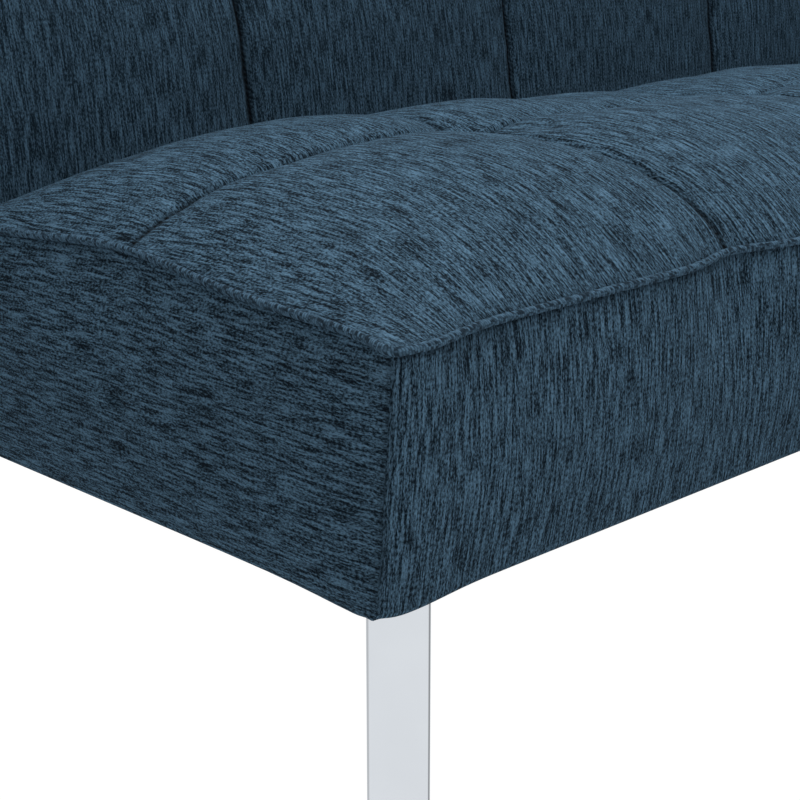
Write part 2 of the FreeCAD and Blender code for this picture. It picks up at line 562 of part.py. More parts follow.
def make_arm(name, side):
    """The moving half of the hinge: a disc on the pivot with a long recess, and a strap up the stile."""
    disc = rod(f"Arm{name}Disc", "Sizes.disc_radius", "Sizes.arm_thick")
    strap = box(f"Arm{name}Strap", "Sizes.arm_wide", "Sizes.arm_reach", "Sizes.arm_thick",
                pose("-Sizes.arm_wide / 2"))
    end = rod(f"Arm{name}End", "Sizes.arm_wide / 2", "Sizes.arm_thick", pose(y="Sizes.arm_reach"))
    blank = joined(f"Arm{name}Blank", [disc, strap, end])
    sweep = "Sizes.back_travel + Sizes.forward_travel + 2 * Sizes.recess_margin"
    start = "Sizes.back_lean - 90 - Sizes.forward_travel - Sizes.recess_margin"
    ring = rod(f"Arm{name}RingOuter", "Sizes.disc_radius + Sizes.cut_over", "Sizes.arm_thick",
               pose(turn=("0; 0; 1", start)), Angle=sweep)
    core = rod(f"Arm{name}RingInner", "Sizes.recess_radius", "Sizes.arm_thick")
    cuts = [cut(f"Arm{name}Recess", ring, core),
            rod(f"Arm{name}Bore", "Sizes.pivot_radius + Sizes.running_clearance", "Sizes.arm_thick")]
    for number, angle in enumerate(("0", "Sizes.lounge_angle", "Sizes.back_travel")):
        facing = f"Sizes.back_lean - 90 + {angle}"
        cuts.append(rod(f"Arm{name}Detent{number}", "Sizes.detent_radius", "Sizes.arm_thick",
                        pose(f"(Sizes.recess_radius + Sizes.detent_lift) * cos({facing})",
                             f"(Sizes.recess_radius + Sizes.detent_lift) * sin({facing})")))
    bolts = []
    for number in range(SIZES["arm_bolt_count"]):
        reach = f"Sizes.arm_bolt_first + {number} * Sizes.arm_bolt_pitch"
        cuts.append(rod(f"Arm{name}Hole{number}", "Sizes.bolt_radius + Sizes.running_clearance",
                        "Sizes.arm_thick", pose(y=reach)))
        bolts.append(small_bolt(f"ArmBolt{name}{number}", "Sizes.arm_thick + Sizes.bolt_bite",
                                pose(f"{side} * Layout.arm_out", "0", reach, TIP_INBOARD[side],
                                     "back_pose")))
    part(cut(f"Arm{name}", blank, joined(f"Arm{name}Cuts", cuts),
             pose(side_start("Layout.arm_in", "Sizes.arm_thick", side), frame="back_pose", turn=TO_YZ)),
         f"recliner_arm_{name}")
    return bolts


def make_back_frame():
    deep = "Sizes.back_board_front + Sizes.back_board_rear"
    front = "-Sizes.back_board_front"
    tall = "Layout.back_high - Sizes.board_thick - Layout.back_low"
    part(box("BackTopRail", "2 * Layout.frame_half", deep, "Sizes.board_thick",
             pose("-Layout.frame_half", front, "Layout.back_high - Sizes.board_thick", frame="back_pose")),
         "back_top_rail")
    part(box("BackBottomRail", "2 * Layout.stile_in", deep, "Sizes.board_thick",
             pose("-Layout.stile_in", front, "Layout.back_low", frame="back_pose")), "back_bottom_rail")
    arm_bolts = []
    for name, side in SIDES.items():
        end_x = side_start("Layout.frame_half - Sizes.board_thick", "Sizes.board_thick", side)
        part(box(f"BackEnd{name}", "Sizes.board_thick", deep, tall,
                 pose(end_x, front, "Layout.back_low", frame="back_pose")), f"back_end_stile_{name}")
        stile_x = side_start("Layout.stile_in", "Sizes.board_thick", side)
        stile = box(f"Stile{name}", "Sizes.board_thick", deep, tall, pose(stile_x, front, "Layout.back_low"))
        bores = [rod(f"Stile{name}Bore", "Sizes.pivot_radius + Sizes.stile_clearance", "Sizes.board_thick",
                     pose(stile_x, turn=("0; 1; 0", "90")))]
        for number in range(SIZES["arm_bolt_count"]):
            reach = f"Sizes.arm_bolt_first + {number} * Sizes.arm_bolt_pitch"
            bores.append(rod(f"Stile{name}Hole{number}", "Sizes.bolt_radius", "Sizes.board_thick",
                             pose(stile_x, "0", reach, ("0; 1; 0", "90"))))
        part(cut(f"HingeStile{name}", stile, grouped(f"Stile{name}Bores", bores), pose(frame="back_pose")),
             f"back_hinge_stile_{name}")
        arm_bolts += make_arm(name, side)
    part(grouped("ArmBolts", arm_bolts), "arm_bolts")
    slats = []
    high = "(Layout.back_high - Sizes.slat_wide)"
    step = f"({high} - Sizes.back_slat_low) / (Sizes.back_slat_count - 1)"
    for number in range(SIZES["back_slat_count"]):
        slats.append(box(f"BackSlat{number}", "2 * Layout.frame_half", "Sizes.slat_thick", "Sizes.slat_wide",
                         pose("-Layout.frame_half", f"{front} - Sizes.slat_thick",
                              f"Sizes.back_slat_low + {number} * {step}", frame="back_pose")))
    part(grouped("BackSlats", slats), "back_slats")
    part(box("BackPanel", "2 * Layout.stile_in", "Sizes.panel_thick", "Layout.back_high - Layout.back_low",
             pose("-Layout.stile_in", "Sizes.back_board_rear", "Layout.back_low", frame="back_pose")),
         "back_panel")


def back_blank(name, inset):
    """The back's outer form drawn in by an inset: a block with a round heel and a rounded top rear."""
    body = doc.addObject("PartDesign::Body", name)
    sketch = sketch_on(body, f"{name}Sketch")
    rectangle(sketch, f"Sizes.seat_width - 2 * {inset}", f"Sizes.back_thickness - 2 * {inset}")
    feature = pad(body, sketch, f"Sizes.back_length - 2 * {inset}")
    for front, low, radius in ((True, True, "heel_front_radius"), (False, True, "heel_rear_radius"),
                               (False, False, "top_rear_radius")):
        def wanted(edge):
            middle = edge.BoundBox.Center
            along = abs(edge.tangentAt(edge.FirstParameter).x) > 0.99
            edge_y = edge.BoundBox.YLength < 1e-6 and edge.BoundBox.ZLength < 1e-6
            box_all = feature.Shape.BoundBox
            y_side = box_all.YMin if front else box_all.YMax
            z_side = box_all.ZMin if low else box_all.ZMax
            return along and edge_y and abs(middle.y - y_side) < 1e-3 and abs(middle.z - z_side) < 1e-3
        feature = round_edges(body, feature, wanted, f"Sizes.{radius} - {inset}")
    return put(body, pose(z=f"{inset} - Layout.half_thick"))


def make_back_upholstery():
    outer = back_blank("BackOuter", "0")
    inner = back_blank("BackInner", "Sizes.cover_thick")
    cavity_front = "Sizes.back_board_front + Sizes.slat_thick"
    cavity = box("BackCavity", "2 * Layout.frame_half",
                 f"{cavity_front} + Sizes.back_board_rear + Sizes.panel_thick",
                 "Layout.back_high - Layout.back_low",
                 pose("-Layout.frame_half", f"-({cavity_front})", "Layout.back_low"))
    slots = []
    slot_wide = "Layout.plate_out + Sizes.slot_spare - Layout.arm_in"
    reach = "Sizes.hinge_radius + Sizes.slot_margin"
    for name, side in SIDES.items():
        slots.append(box(f"BackSlot{name}", slot_wide, f"{reach} + Layout.half_thick + Sizes.cut_over",
                         f"{reach} + Layout.half_thick + Sizes.cut_over",
                         pose(side_start("Layout.arm_in", slot_wide, side), f"-({reach})",
                              "-Layout.half_thick - Sizes.cut_over")))
    part(cut("BackCover", outer, joined("BackCoverCuts", [inner] + slots), pose(frame="back_pose")),
         "back_cover")
    part(cut("BackFoam", inner, joined("BackFoamCuts", [cavity] + slots), pose(frame="back_pose")),
         "back_foam")
    out = "Layout.half_width + Sizes.welt_out * Sizes.welt_radius"
    ahead = "-(Layout.half_thick + Sizes.welt_ahead * Sizes.welt_radius)"
    top = "Sizes.back_length - Layout.half_thick + Sizes.welt_out * Sizes.welt_radius"
    start = "Sizes.heel_front_radius - Layout.half_thick"
    pieces = [rod("BackWeltTop", "Sizes.welt_radius", f"2 * ({out})",
                  pose(f"-({out})", ahead, top, ("0; 1; 0", "90")))]
    for side in SIDES.values():
        x = f"{side} * ({out})"
        pieces.append(rod(f"BackWeltEnd{1 + side}", "Sizes.welt_radius", f"{top} - ({start})",
                          pose(x, ahead, start)))
        pieces.append(ball(f"BackWeltCorner{1 + side}", "Sizes.welt_radius", pose(x, ahead, top)))
    part(joined("BackWelt", pieces, pose(frame="back_pose")), "back_welt")


def export_parts():
    """Checks every object and writes one file for each sub-part."""
    doc.recompute()
    for item in doc.Objects:
        if {"Invalid", "Error"} & set(item.State):
            raise RuntimeError(f"{item.Name} did not recompute: {item.State}")
    for item in parts:
        if item.Shape.isNull() or not item.Shape.isValid() or not item.Shape.Solids:
            raise RuntimeError(f"{item.Label} has no sound solid")
    os.makedirs("parts", exist_ok=True)
    for item in parts:
        item.Shape.exportStep(f"parts/{item.Label}.step")
    print(len(parts), "sub-parts written")


make_sheet()
make_layout()
make_seat_upholstery()
block_bores, tube_bores = make_legs()
make_seat_frame(block_bores, make_base(tube_bores))
make_hinge_base()
make_back_frame()
make_back_upholstery()
export_parts()
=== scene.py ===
import json
import logging
import math
from dataclasses import dataclass, field
from enum import Enum
from typing import Callable, Optional, Sequence, Union

import bpy
import numpy as np
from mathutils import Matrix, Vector


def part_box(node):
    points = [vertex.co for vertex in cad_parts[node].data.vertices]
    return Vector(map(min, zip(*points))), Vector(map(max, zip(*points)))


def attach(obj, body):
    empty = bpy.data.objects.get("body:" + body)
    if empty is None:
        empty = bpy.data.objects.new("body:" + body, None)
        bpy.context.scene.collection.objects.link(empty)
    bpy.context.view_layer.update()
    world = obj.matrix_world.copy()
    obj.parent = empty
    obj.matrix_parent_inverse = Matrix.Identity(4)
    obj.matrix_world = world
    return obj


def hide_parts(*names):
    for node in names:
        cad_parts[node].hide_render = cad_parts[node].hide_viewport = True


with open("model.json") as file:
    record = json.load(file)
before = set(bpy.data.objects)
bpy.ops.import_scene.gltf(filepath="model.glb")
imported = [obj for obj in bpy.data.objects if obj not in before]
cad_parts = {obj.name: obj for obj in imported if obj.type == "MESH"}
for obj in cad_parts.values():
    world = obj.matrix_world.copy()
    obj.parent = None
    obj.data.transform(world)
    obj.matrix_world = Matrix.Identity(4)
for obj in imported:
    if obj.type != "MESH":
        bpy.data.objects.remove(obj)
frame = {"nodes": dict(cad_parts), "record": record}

LOG = logging.getLogger("sofa_bed")
MM = 0.001
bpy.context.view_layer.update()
SEAMS = ("near_column", "near_row", "near_edge")


# ---------------------------------------------------------------- shader maths

Term = Union["Wire", int, float]
Colour = tuple[float, float, float]
Place = tuple[float, float, float]


class Wire:
    """A node's output socket that can be used in Python expressions."""

    def __init__(self, shop: "Workshop", socket: bpy.types.NodeSocket) -> None:
        """Wraps one socket of the material that the workshop is making."""
        self.shop = shop
        self.socket = socket

    def _math(self, operation: str, *values: Term) -> "Wire":
        """Adds one Math node over the values and returns its output."""
        return self.shop.node("ShaderNodeMath", {"operation": operation}, dict(enumerate(values)))

    def __add__(self, other: Term) -> "Wire":
        """Sum."""
        return self._math("ADD", self, other)

    __radd__ = __add__

    def __sub__(self, other: Term) -> "Wire":
        """Difference."""
        return self._math("SUBTRACT", self, other)

    def __rsub__(self, other: Term) -> "Wire":
        """Difference with the number first."""
        return self._math("SUBTRACT", other, self)

    def __mul__(self, other: Term) -> "Wire":
        """Product."""
        return self._math("MULTIPLY", self, other)

    __rmul__ = __mul__

    def __neg__(self) -> "Wire":
        """The value with its sign turned."""
        return self * -1.0

    def floor(self) -> "Wire":
        """Whole part, rounded down."""
        return self._math("FLOOR", self)

    def wave(self) -> "Wire":
        """Sine of the value in radians, brought to 0..1."""
        return self._math("SINE", self) * 0.5 + 0.5

    def ease(self, low: float, high: float) -> "Wire":
        """Smooth step from 0 at low to 1 at high, clamped."""
        settings = {"interpolation_type": "SMOOTHSTEP"}
        return self.shop.node("ShaderNodeMapRange", settings, {"Value": self, 1: low, 2: high, 3: 0.0, 4: 1.0})

    def bell(self, reach: float) -> "Wire":
        """exp(-(value / reach)^2): 1 at a seam, fading over its reach."""
        scaled = self * (1.0 / reach)
        return self._math("EXPONENT", scaled * scaled * -1.0)


class Workshop:
    """Makes one material and its nodes."""

    def __init__(self, name: str, world: Optional[bpy.types.World] = None) -> None:
        """Starts a node material, or a world's nodes, with only the output.

        Args:
            name: The material's name.
            world: The world to work on instead.
        """
        self.material = world or bpy.data.materials.new(name)
        self.material.use_nodes = True
        self.tree = self.material.node_tree
        self.tree.nodes.clear()
        self.output = self.tree.nodes.new("ShaderNodeOutputWorld" if world else "ShaderNodeOutputMaterial")

    def node(self, kind: str, settings: Optional[dict] = None, inputs: Optional[dict] = None,
             out: Union[int, str] = 0) -> Wire:
        """Adds a node of any type.

        Args:
            kind: The node's type name.
            settings: Its own properties, set first.
            inputs: Values or wires by socket name or number.
            out: The output that is wanted.

        Returns:
            The wanted output as a wire.
        """
        made = self.tree.nodes.new(kind)
        for key, value in (settings or {}).items():
            setattr(made, key, value)
        for key, value in (inputs or {}).items():
            if isinstance(value, Wire):
                self.tree.links.new(value.socket, made.inputs[key])
            else:
                made.inputs[key].default_value = value
        return Wire(self, made.outputs[out])

    def parts(self, vector: Wire) -> tuple[Wire, Wire, Wire]:
        """Splits a vector into its three numbers.

        Args:
            vector: The vector to split.

        Returns:
            Its three numbers.
        """
        split = self.node("ShaderNodeSeparateXYZ", None, {0: vector})
        outputs = split.socket.node.outputs
        return tuple(Wire(self, outputs[axis]) for axis in range(3))

    def vector(self, x: Term, y: Term, z: Term = 0.0) -> Wire:
        """Joins three numbers into a vector."""
        return self.node("ShaderNodeCombineXYZ", None, {0: x, 1: y, 2: z})

    def place(self) -> Wire:
        """Object coordinates, in metres in the object's frame."""
        return self.node("ShaderNodeTexCoord", None, None, "Object")

    def value_of(self, name: str) -> Wire:
        """A number stored on the piece's own points."""
        return self.node("ShaderNodeAttribute", {"attribute_name": name}, None, "Fac")

    def noise(self, where: Wire, scale: float = 1.0, detail: float = 2.0, rough: float = 0.5) -> Wire:
        """Plain noise, 0..1."""
        return self.node("ShaderNodeTexNoise", {"noise_dimensions": "3D"},
                         {"Vector": where, "Scale": scale, "Detail": detail, "Roughness": rough})

    def blend(self, factor: Wire, low: Union[Colour, Wire], high: Colour) -> Wire:
        """Mixes two colours.

        Args:
            factor: 0 for the low colour to 1 for the high one.
            low: A colour, or the wire of one.
            high: A colour.

        Returns:
            The mixed colour.
        """
        start = low if isinstance(low, Wire) else (*low, 1.0)
        return self.node("ShaderNodeMix", {"data_type": "RGBA", "clamp_factor": True},
                         {0: factor, 6: start, 7: (*high, 1.0)}, 2)

    def bump(self, height: Wire, depth: float, strength: float = 1.0) -> Wire:
        """A Bump node over a height in units of depth, in metres."""
        return self.node("ShaderNodeBump", None, {"Height": height, "Distance": depth, "Strength": strength})

    def finish(self, **sockets: Term) -> bpy.types.Material:
        """Adds the Principled shader.

        Args:
            **sockets: Its values or wires by socket name, with underscores for spaces.

        Returns:
            The finished material.
        """
        inputs = {key.replace("_", " "): value for key, value in sockets.items()}
        shader = self.node("ShaderNodeBsdfPrincipled", None, inputs)
        self.tree.links.new(shader.socket, self.output.inputs["Surface"])
        return self.material


# ---------------------------------------------------------------- finishes

@dataclass(frozen=True)
class Chenille:
    """Chenille in navy and steel blue: fine streaks along the pile, each fading in and out."""

    name: str = "chenille"
    dark: Colour = (0.0035, 0.0085, 0.0145)
    light: Colour = (0.146, 0.280, 0.415)
    thick: float = 1.7 * MM
    dash: float = 19.0 * MM
    fibre: float = 1.05 * MM
    wander: float = 1.0 * MM
    shares: Place = (0.40, 0.46, 0.14)
    tuft_range: tuple[float, float] = (0.405, 0.645)
    cloud_size: float = 1.0 / 11.0
    drift_size: float = 1.0 / 28.0
    # Strength of the painted shade in the puckers' folds.
    pucker_shade: float = 0.5
    dashed: float = 0.55
    # Below 1 this is painted shade: it dims the lighter yarns for a copy of the cloth that stands in shade.
    shade: float = 1.0
    pucker: float = 5.6 * MM
    # Reaches of the painted shade in each seam's crease and beside the piping.
    crease: float = 2.7 * MM
    welt_shade: float = 3.6 * MM
    gather: float = 4.2 * MM
    pile: float = 0.8 * MM

    def make(self) -> bpy.types.Material:
        """Builds the cover's material from its weave map and its distances to the seams.

        The weave map is in metres with the pile along its second axis. The streaks are three sizes of
        noise drawn out along the pile. Next to a seam the cloth is gathered in short puckers, in the bump
        and with painted shade in their folds; painted shade also darkens each seam's crease, a band beside
        the piping and the cushion's ends.

        Returns:
            The material.
        """
        shop = Workshop(self.name)
        across, along, _ = shop.parts(shop.node("ShaderNodeUVMap", {"uv_map": "weave"}))
        drift = shop.noise(shop.vector(across, along), 1.0 / self.drift_size)
        bent = across + (drift - 0.5) * self.wander
        streak = shop.noise(shop.vector(bent * (1 / self.thick), along * (1 / self.dash)), rough=0.55)
        hair = shop.noise(shop.vector(bent * (1 / self.fibre), along * (0.42 / self.fibre), 3.0), rough=0.6)
        yarn = shop.noise(shop.vector(bent * (0.62 / self.thick), along * (0.45 / self.dash), 7.0), detail=0.0)
        cloud = shop.noise(shop.vector(across, along), 1.0 / self.cloud_size, 3.0)
        mixed = sum(part * share for part, share in zip((streak, hair, yarn), self.shares))
        tuft = mixed.ease(*self.tuft_range)
        near_column, near_row, near_edge = (shop.value_of(name) for name in SEAMS)
        # Painted shade: a dark band beside the piping and along the cushion's ends.
        crease_shade_mask = near_edge.bell(self.welt_shade) * 0.42
        gathered = 0.0
        for near, place in ((near_column, along), (near_row, across)):
            stitch = (place * (2 * math.pi / self.pucker) + near * 700.0 + drift * 12.0).wave()
            # Painted shade in each seam's crease, broken into dashes by the stitch wave.
            crease_shade_mask = crease_shade_mask + near.bell(self.crease) * (1.0 - stitch * self.dashed)
            gathered = near.bell(self.gather) * stitch + gathered
        # Colour of the painted shade in creases and beside the piping.
        crease_shade_colour = tuple(c * 0.15 for c in self.dark)
        # The shade factor paints shade over the whole cloth by dimming its lighter yarns.
        tone = shop.blend(tuft * (0.80 + cloud * 0.30) * self.shade, self.dark, self.light)
        # Painted shade in the folds of the puckers, laid on as dark dashes.
        tone = shop.blend(gathered * self.pucker_shade, tone, self.dark)
        # Lays the painted crease and piping-side shade over the cloth.
        tone = shop.blend(crease_shade_mask, tone, crease_shade_colour)
        height = tuft * 0.45 + hair * 0.75 + gathered * -1.3 + crease_shade_mask * -1.2
        return shop.finish(Base_Color=tone, Roughness=0.95, Normal=shop.bump(height, self.pile, 0.8),
                           Specular_IOR_Level=0.08)


@dataclass(frozen=True)
class WeltCloth:
    """The same chenille wrapped on the bias round a cord."""

    dark: Colour = (0.0050, 0.0105, 0.0175)
    light: Colour = (0.135, 0.258, 0.385)
    yarn: float = 1.9 * MM

    def make(self) -> bpy.types.Material:
        """Builds the welt's material: short yarns that run round the cord, a little aslant, with painted light
        on the ribs' tops and painted shade between them.

        Returns:
            The material.
        """
        shop = Workshop("welt_cloth")
        around, along, _ = shop.parts(shop.node("ShaderNodeUVMap", {"uv_map": "weave"}))
        count = (along + around * 0.35) * (1.0 / self.yarn)
        column = count.floor()
        ridge = ((count - column) * math.pi).wave() * 2.0 - 1.0
        dashes = shop.noise(shop.vector(column * 5.77, around * 240.0), detail=1.0).ease(0.36, 0.62)
        fluff = shop.noise(shop.vector(around, along), 2400.0, 1.0)
        # Painted light on the ribs' tops and painted shade between them, over the yarns' own dashes and fluff.
        yarns_and_painted_rib_light = dashes * (0.4 + ridge * 0.6) * (0.7 + fluff * 0.6)
        tone = shop.blend(0.10 + yarns_and_painted_rib_light * 0.80, self.dark, self.light)
        height = ridge * 0.6 + dashes * 0.2 + fluff * 0.3
        return shop.finish(Base_Color=tone, Roughness=0.9, Normal=shop.bump(height, 0.8 * MM),
                           Specular_IOR_Level=0.08)


@dataclass(frozen=True)
class Metal:
    """A plated, painted or bare metal with a fine surface of its own."""

    name: str
    colour: Colour
    metallic: float
    rough: float
    spread: float
    grain: float
    depth: float

    def make(self) -> bpy.types.Material:
        """Roughness and colour wander a little, and a fine noise lifts the surface.

        Returns:
            The material.
        """
        shop = Workshop(self.name)
        where = shop.place()
        cloud = shop.noise(where, 14.0, 3.0)
        fine = shop.noise(where, self.grain, 2.0)
        dull = tuple(c * 0.88 for c in self.colour)
        tone = shop.blend(cloud, self.colour, dull)
        rough = self.rough + (cloud - 0.5) * self.spread
        return shop.finish(Base_Color=tone, Metallic=self.metallic, Roughness=rough,
                           Normal=shop.bump(fine, self.depth, 0.6))


@dataclass(frozen=True)
class Grained:
    """Sawn timber: long pale and dark bands along one axis with fine pores."""

    name: str
    stretch: Place
    pale: Colour = (0.62, 0.43, 0.24)
    dark: Colour = (0.42, 0.26, 0.13)

    def make(self) -> bpy.types.Material:
        """Noise is drawn out along the grain by the stretch, one number for each axis.

        Returns:
            The material.
        """
        shop = Workshop(self.name)
        where = shop.node("ShaderNodeVectorMath", {"operation": "MULTIPLY"},
                          {0: shop.place(), 1: self.stretch})
        band = shop.noise(where, 30.0, 4.0, 0.6)
        pore = shop.noise(where, 240.0, 2.0)
        tone = shop.blend((band * 0.8 + pore * 0.2).ease(0.3, 0.7), self.dark, self.pale)
        return shop.finish(Base_Color=tone, Roughness=0.62 + pore * 0.2,
                           Normal=shop.bump(pore, 0.2 * MM, 0.5))


@dataclass(frozen=True)
class Moulded:
    """Moulded plastic, rubber or a bonded cloth: one colour with a fine texture."""

    name: str
    colour: Colour
    rough: float
    grain: float
    depth: float

    def make(self) -> bpy.types.Material:
        """A speckle changes the tone a little and lifts the surface.

        Returns:
            The material.
        """
        shop = Workshop(self.name)
        speckle = shop.noise(shop.place(), self.grain, 2.0)
        bright = tuple(min(1.0, c * 1.5 + 0.004) for c in self.colour)
        return shop.finish(Base_Color=shop.blend(speckle, self.colour, bright),
                           Roughness=self.rough + (speckle - 0.5) * 0.15,
                           Normal=shop.bump(speckle, self.depth, 0.6))


class Finish(Enum):
    """The finishes of the pieces that come from the frame."""

    CHROME = Metal("leg_chrome", (0.72, 0.756, 0.80), 1.0, 0.07, 0.04, 900.0, 0.004 * MM)
    ZINC = Metal("zinc_plate", (0.60, 0.61, 0.62), 1.0, 0.34, 0.18, 700.0, 0.03 * MM)
    BLACK_STEEL = Metal("black_powder_coat", (0.018, 0.018, 0.020), 0.0, 0.48, 0.12, 1400.0, 0.06 * MM)
    TIMBER_LONG = Grained("timber_long", (0.06, 1.0, 1.0))
    TIMBER_DEEP = Grained("timber_deep", (1.0, 0.06, 1.0))
    TIMBER_TALL = Grained("timber_tall", (1.0, 1.0, 0.06))
    PLASTIC = Moulded("black_plastic", (0.016, 0.016, 0.017), 0.55, 1300.0, 0.04 * MM)
    RUBBER = Moulded("buffer_rubber", (0.013, 0.013, 0.013), 0.8, 800.0, 0.08 * MM)
    LINING = Moulded("dust_cloth", (0.010, 0.010, 0.011), 0.95, 1800.0, 0.2 * MM)
    FOAM = Moulded("foam", (0.62, 0.53, 0.30), 0.95, 900.0, 0.3 * MM)


# ---------------------------------------------------------------- small numpy helpers

def ease(value: np.ndarray, low: float, high: float) -> np.ndarray:
    """Smooth step: 3t^2 - 2t^3 with t running from 0 at low to 1 at high."""
    t = np.clip((value - low) / (high - low), 0.0, 1.0)
    return t * t * (3.0 - 2.0 * t)


def bell(value: np.ndarray, reach: float) -> np.ndarray:
    """exp(-(value / reach)^2)."""
    return np.exp(-((value / reach) ** 2))


def crowded(low: float, high: float, count: int, pull: float = 0.75) -> np.ndarray:
    """Places from low up to but not including high, crowded at both ends.

    The even spacing t is mixed with (1 - cos(pi t)) / 2 by the pull.

    Args:
        low: The first place.
        high: The place after the last one.
        count: How many places.
        pull: 0 for even places, 1 for the most crowded ends.

    Returns:
        The places.
    """
    t = np.arange(count) / count
    return low + (high - low) * ((1.0 - pull) * t + pull * (1.0 - np.cos(math.pi * t)) / 2.0)


def ripple(x: np.ndarray, y: np.ndarray, seed: int, shortest: float, longest: float,
           waves: int = 9) -> np.ndarray:
    """A smooth random field of about -1..1: a sum of sines of random length, direction and phase.

    Args:
        x: Places along the width.
        y: Places from the front edge to the rear one.
        seed: Seed of the random draws.
        shortest: Shortest wave.
        longest: Longest wave.
        waves: How many waves are added.

    Returns:
        The field at each point.
    """
    rng = np.random.default_rng(seed)
    total = np.zeros(np.broadcast(x, y).shape)
    for _ in range(waves):
        length = rng.uniform(shortest, longest)
        angle, phase = rng.uniform(0.0, 2.0 * math.pi, 2)
        turn = 2.0 * math.pi / length
        total = total + np.sin(turn * (x * math.cos(angle) + y * math.sin(angle)) + phase)
    return total / math.sqrt(waves * 2.0)


def spread(values: np.ndarray, at: Sequence[int], count: int) -> np.ndarray:
    """Linear interpolation along the first axis: v0 + (v1 - v0) t between the two places round each index.

    Args:
        values: What is known, one row for each place.
        at: The places, in rising order.
        count: How many whole indices from 0 are wanted. Past the last place its value stays.

    Returns:
        The values at all indices.
    """
    at = np.asarray(at, dtype=float)
    whole = np.arange(count)
    upper = np.clip(np.searchsorted(at, whole, side="right"), 1, len(at) - 1)
    t = np.clip((whole - at[upper - 1]) / (at[upper] - at[upper - 1]), 0.0, 1.0)
    return values[upper - 1] + (values[upper] - values[upper - 1]) * t[:, None, None]


def shell(rings: int, around: int) -> list[np.ndarray]:
    """Faces of a closed grid of rings, whose last two points are the middles of its ends.

    Args:
        rings: Number of rings.
        around: Points in each ring.

    Returns:
        The quads between the rings, and the two fans of triangles.
    """
    index = np.arange(rings * around).reshape(rings, around)
    after = np.roll(index, -1, axis=1)
    quads = np.stack([index[:-1], after[:-1], after[1:], index[1:]], axis=-1).reshape(-1, 4)
    left, right = (np.full(around, index.size + end) for end in (0, 1))
    return [quads, np.stack([left, after[0], index[0]], axis=-1),
            np.stack([right, index[-1], after[-1]], axis=-1)]


class Section:
    """The stretches that make up the closed loop at every station."""

    def __init__(self, stations: int) -> None:
        """Starts with no stretch.

        Args:
            stations: How many stations there are.
        """
        self.stations = stations
        self.kept: list[tuple[np.ndarray, ...]] = []
        self.tags: list[str] = []

    def add(self, x: np.ndarray, y: np.ndarray, z: np.ndarray, tag: str) -> None:
        """Appends one stretch of every loop.

        Args:
            x: Places along the width.
            y: Places from the front edge to the rear one.
            z: Heights.
            tag: What the stretch is.
        """
        shape = (self.stations, np.broadcast(x, y, z).shape[1])
        self.kept.append(tuple(np.broadcast_to(values, shape) for values in (x, y, z)))
        self.tags.extend([tag] * shape[1])

    def joined(self) -> tuple[np.ndarray, ...]:
        """The loops' x, y and z, and the tag of each point of a loop."""
        return (*(np.concatenate(part, axis=1) for part in zip(*self.kept)), np.array(self.tags))


# ---------------------------------------------------------------- upholstery

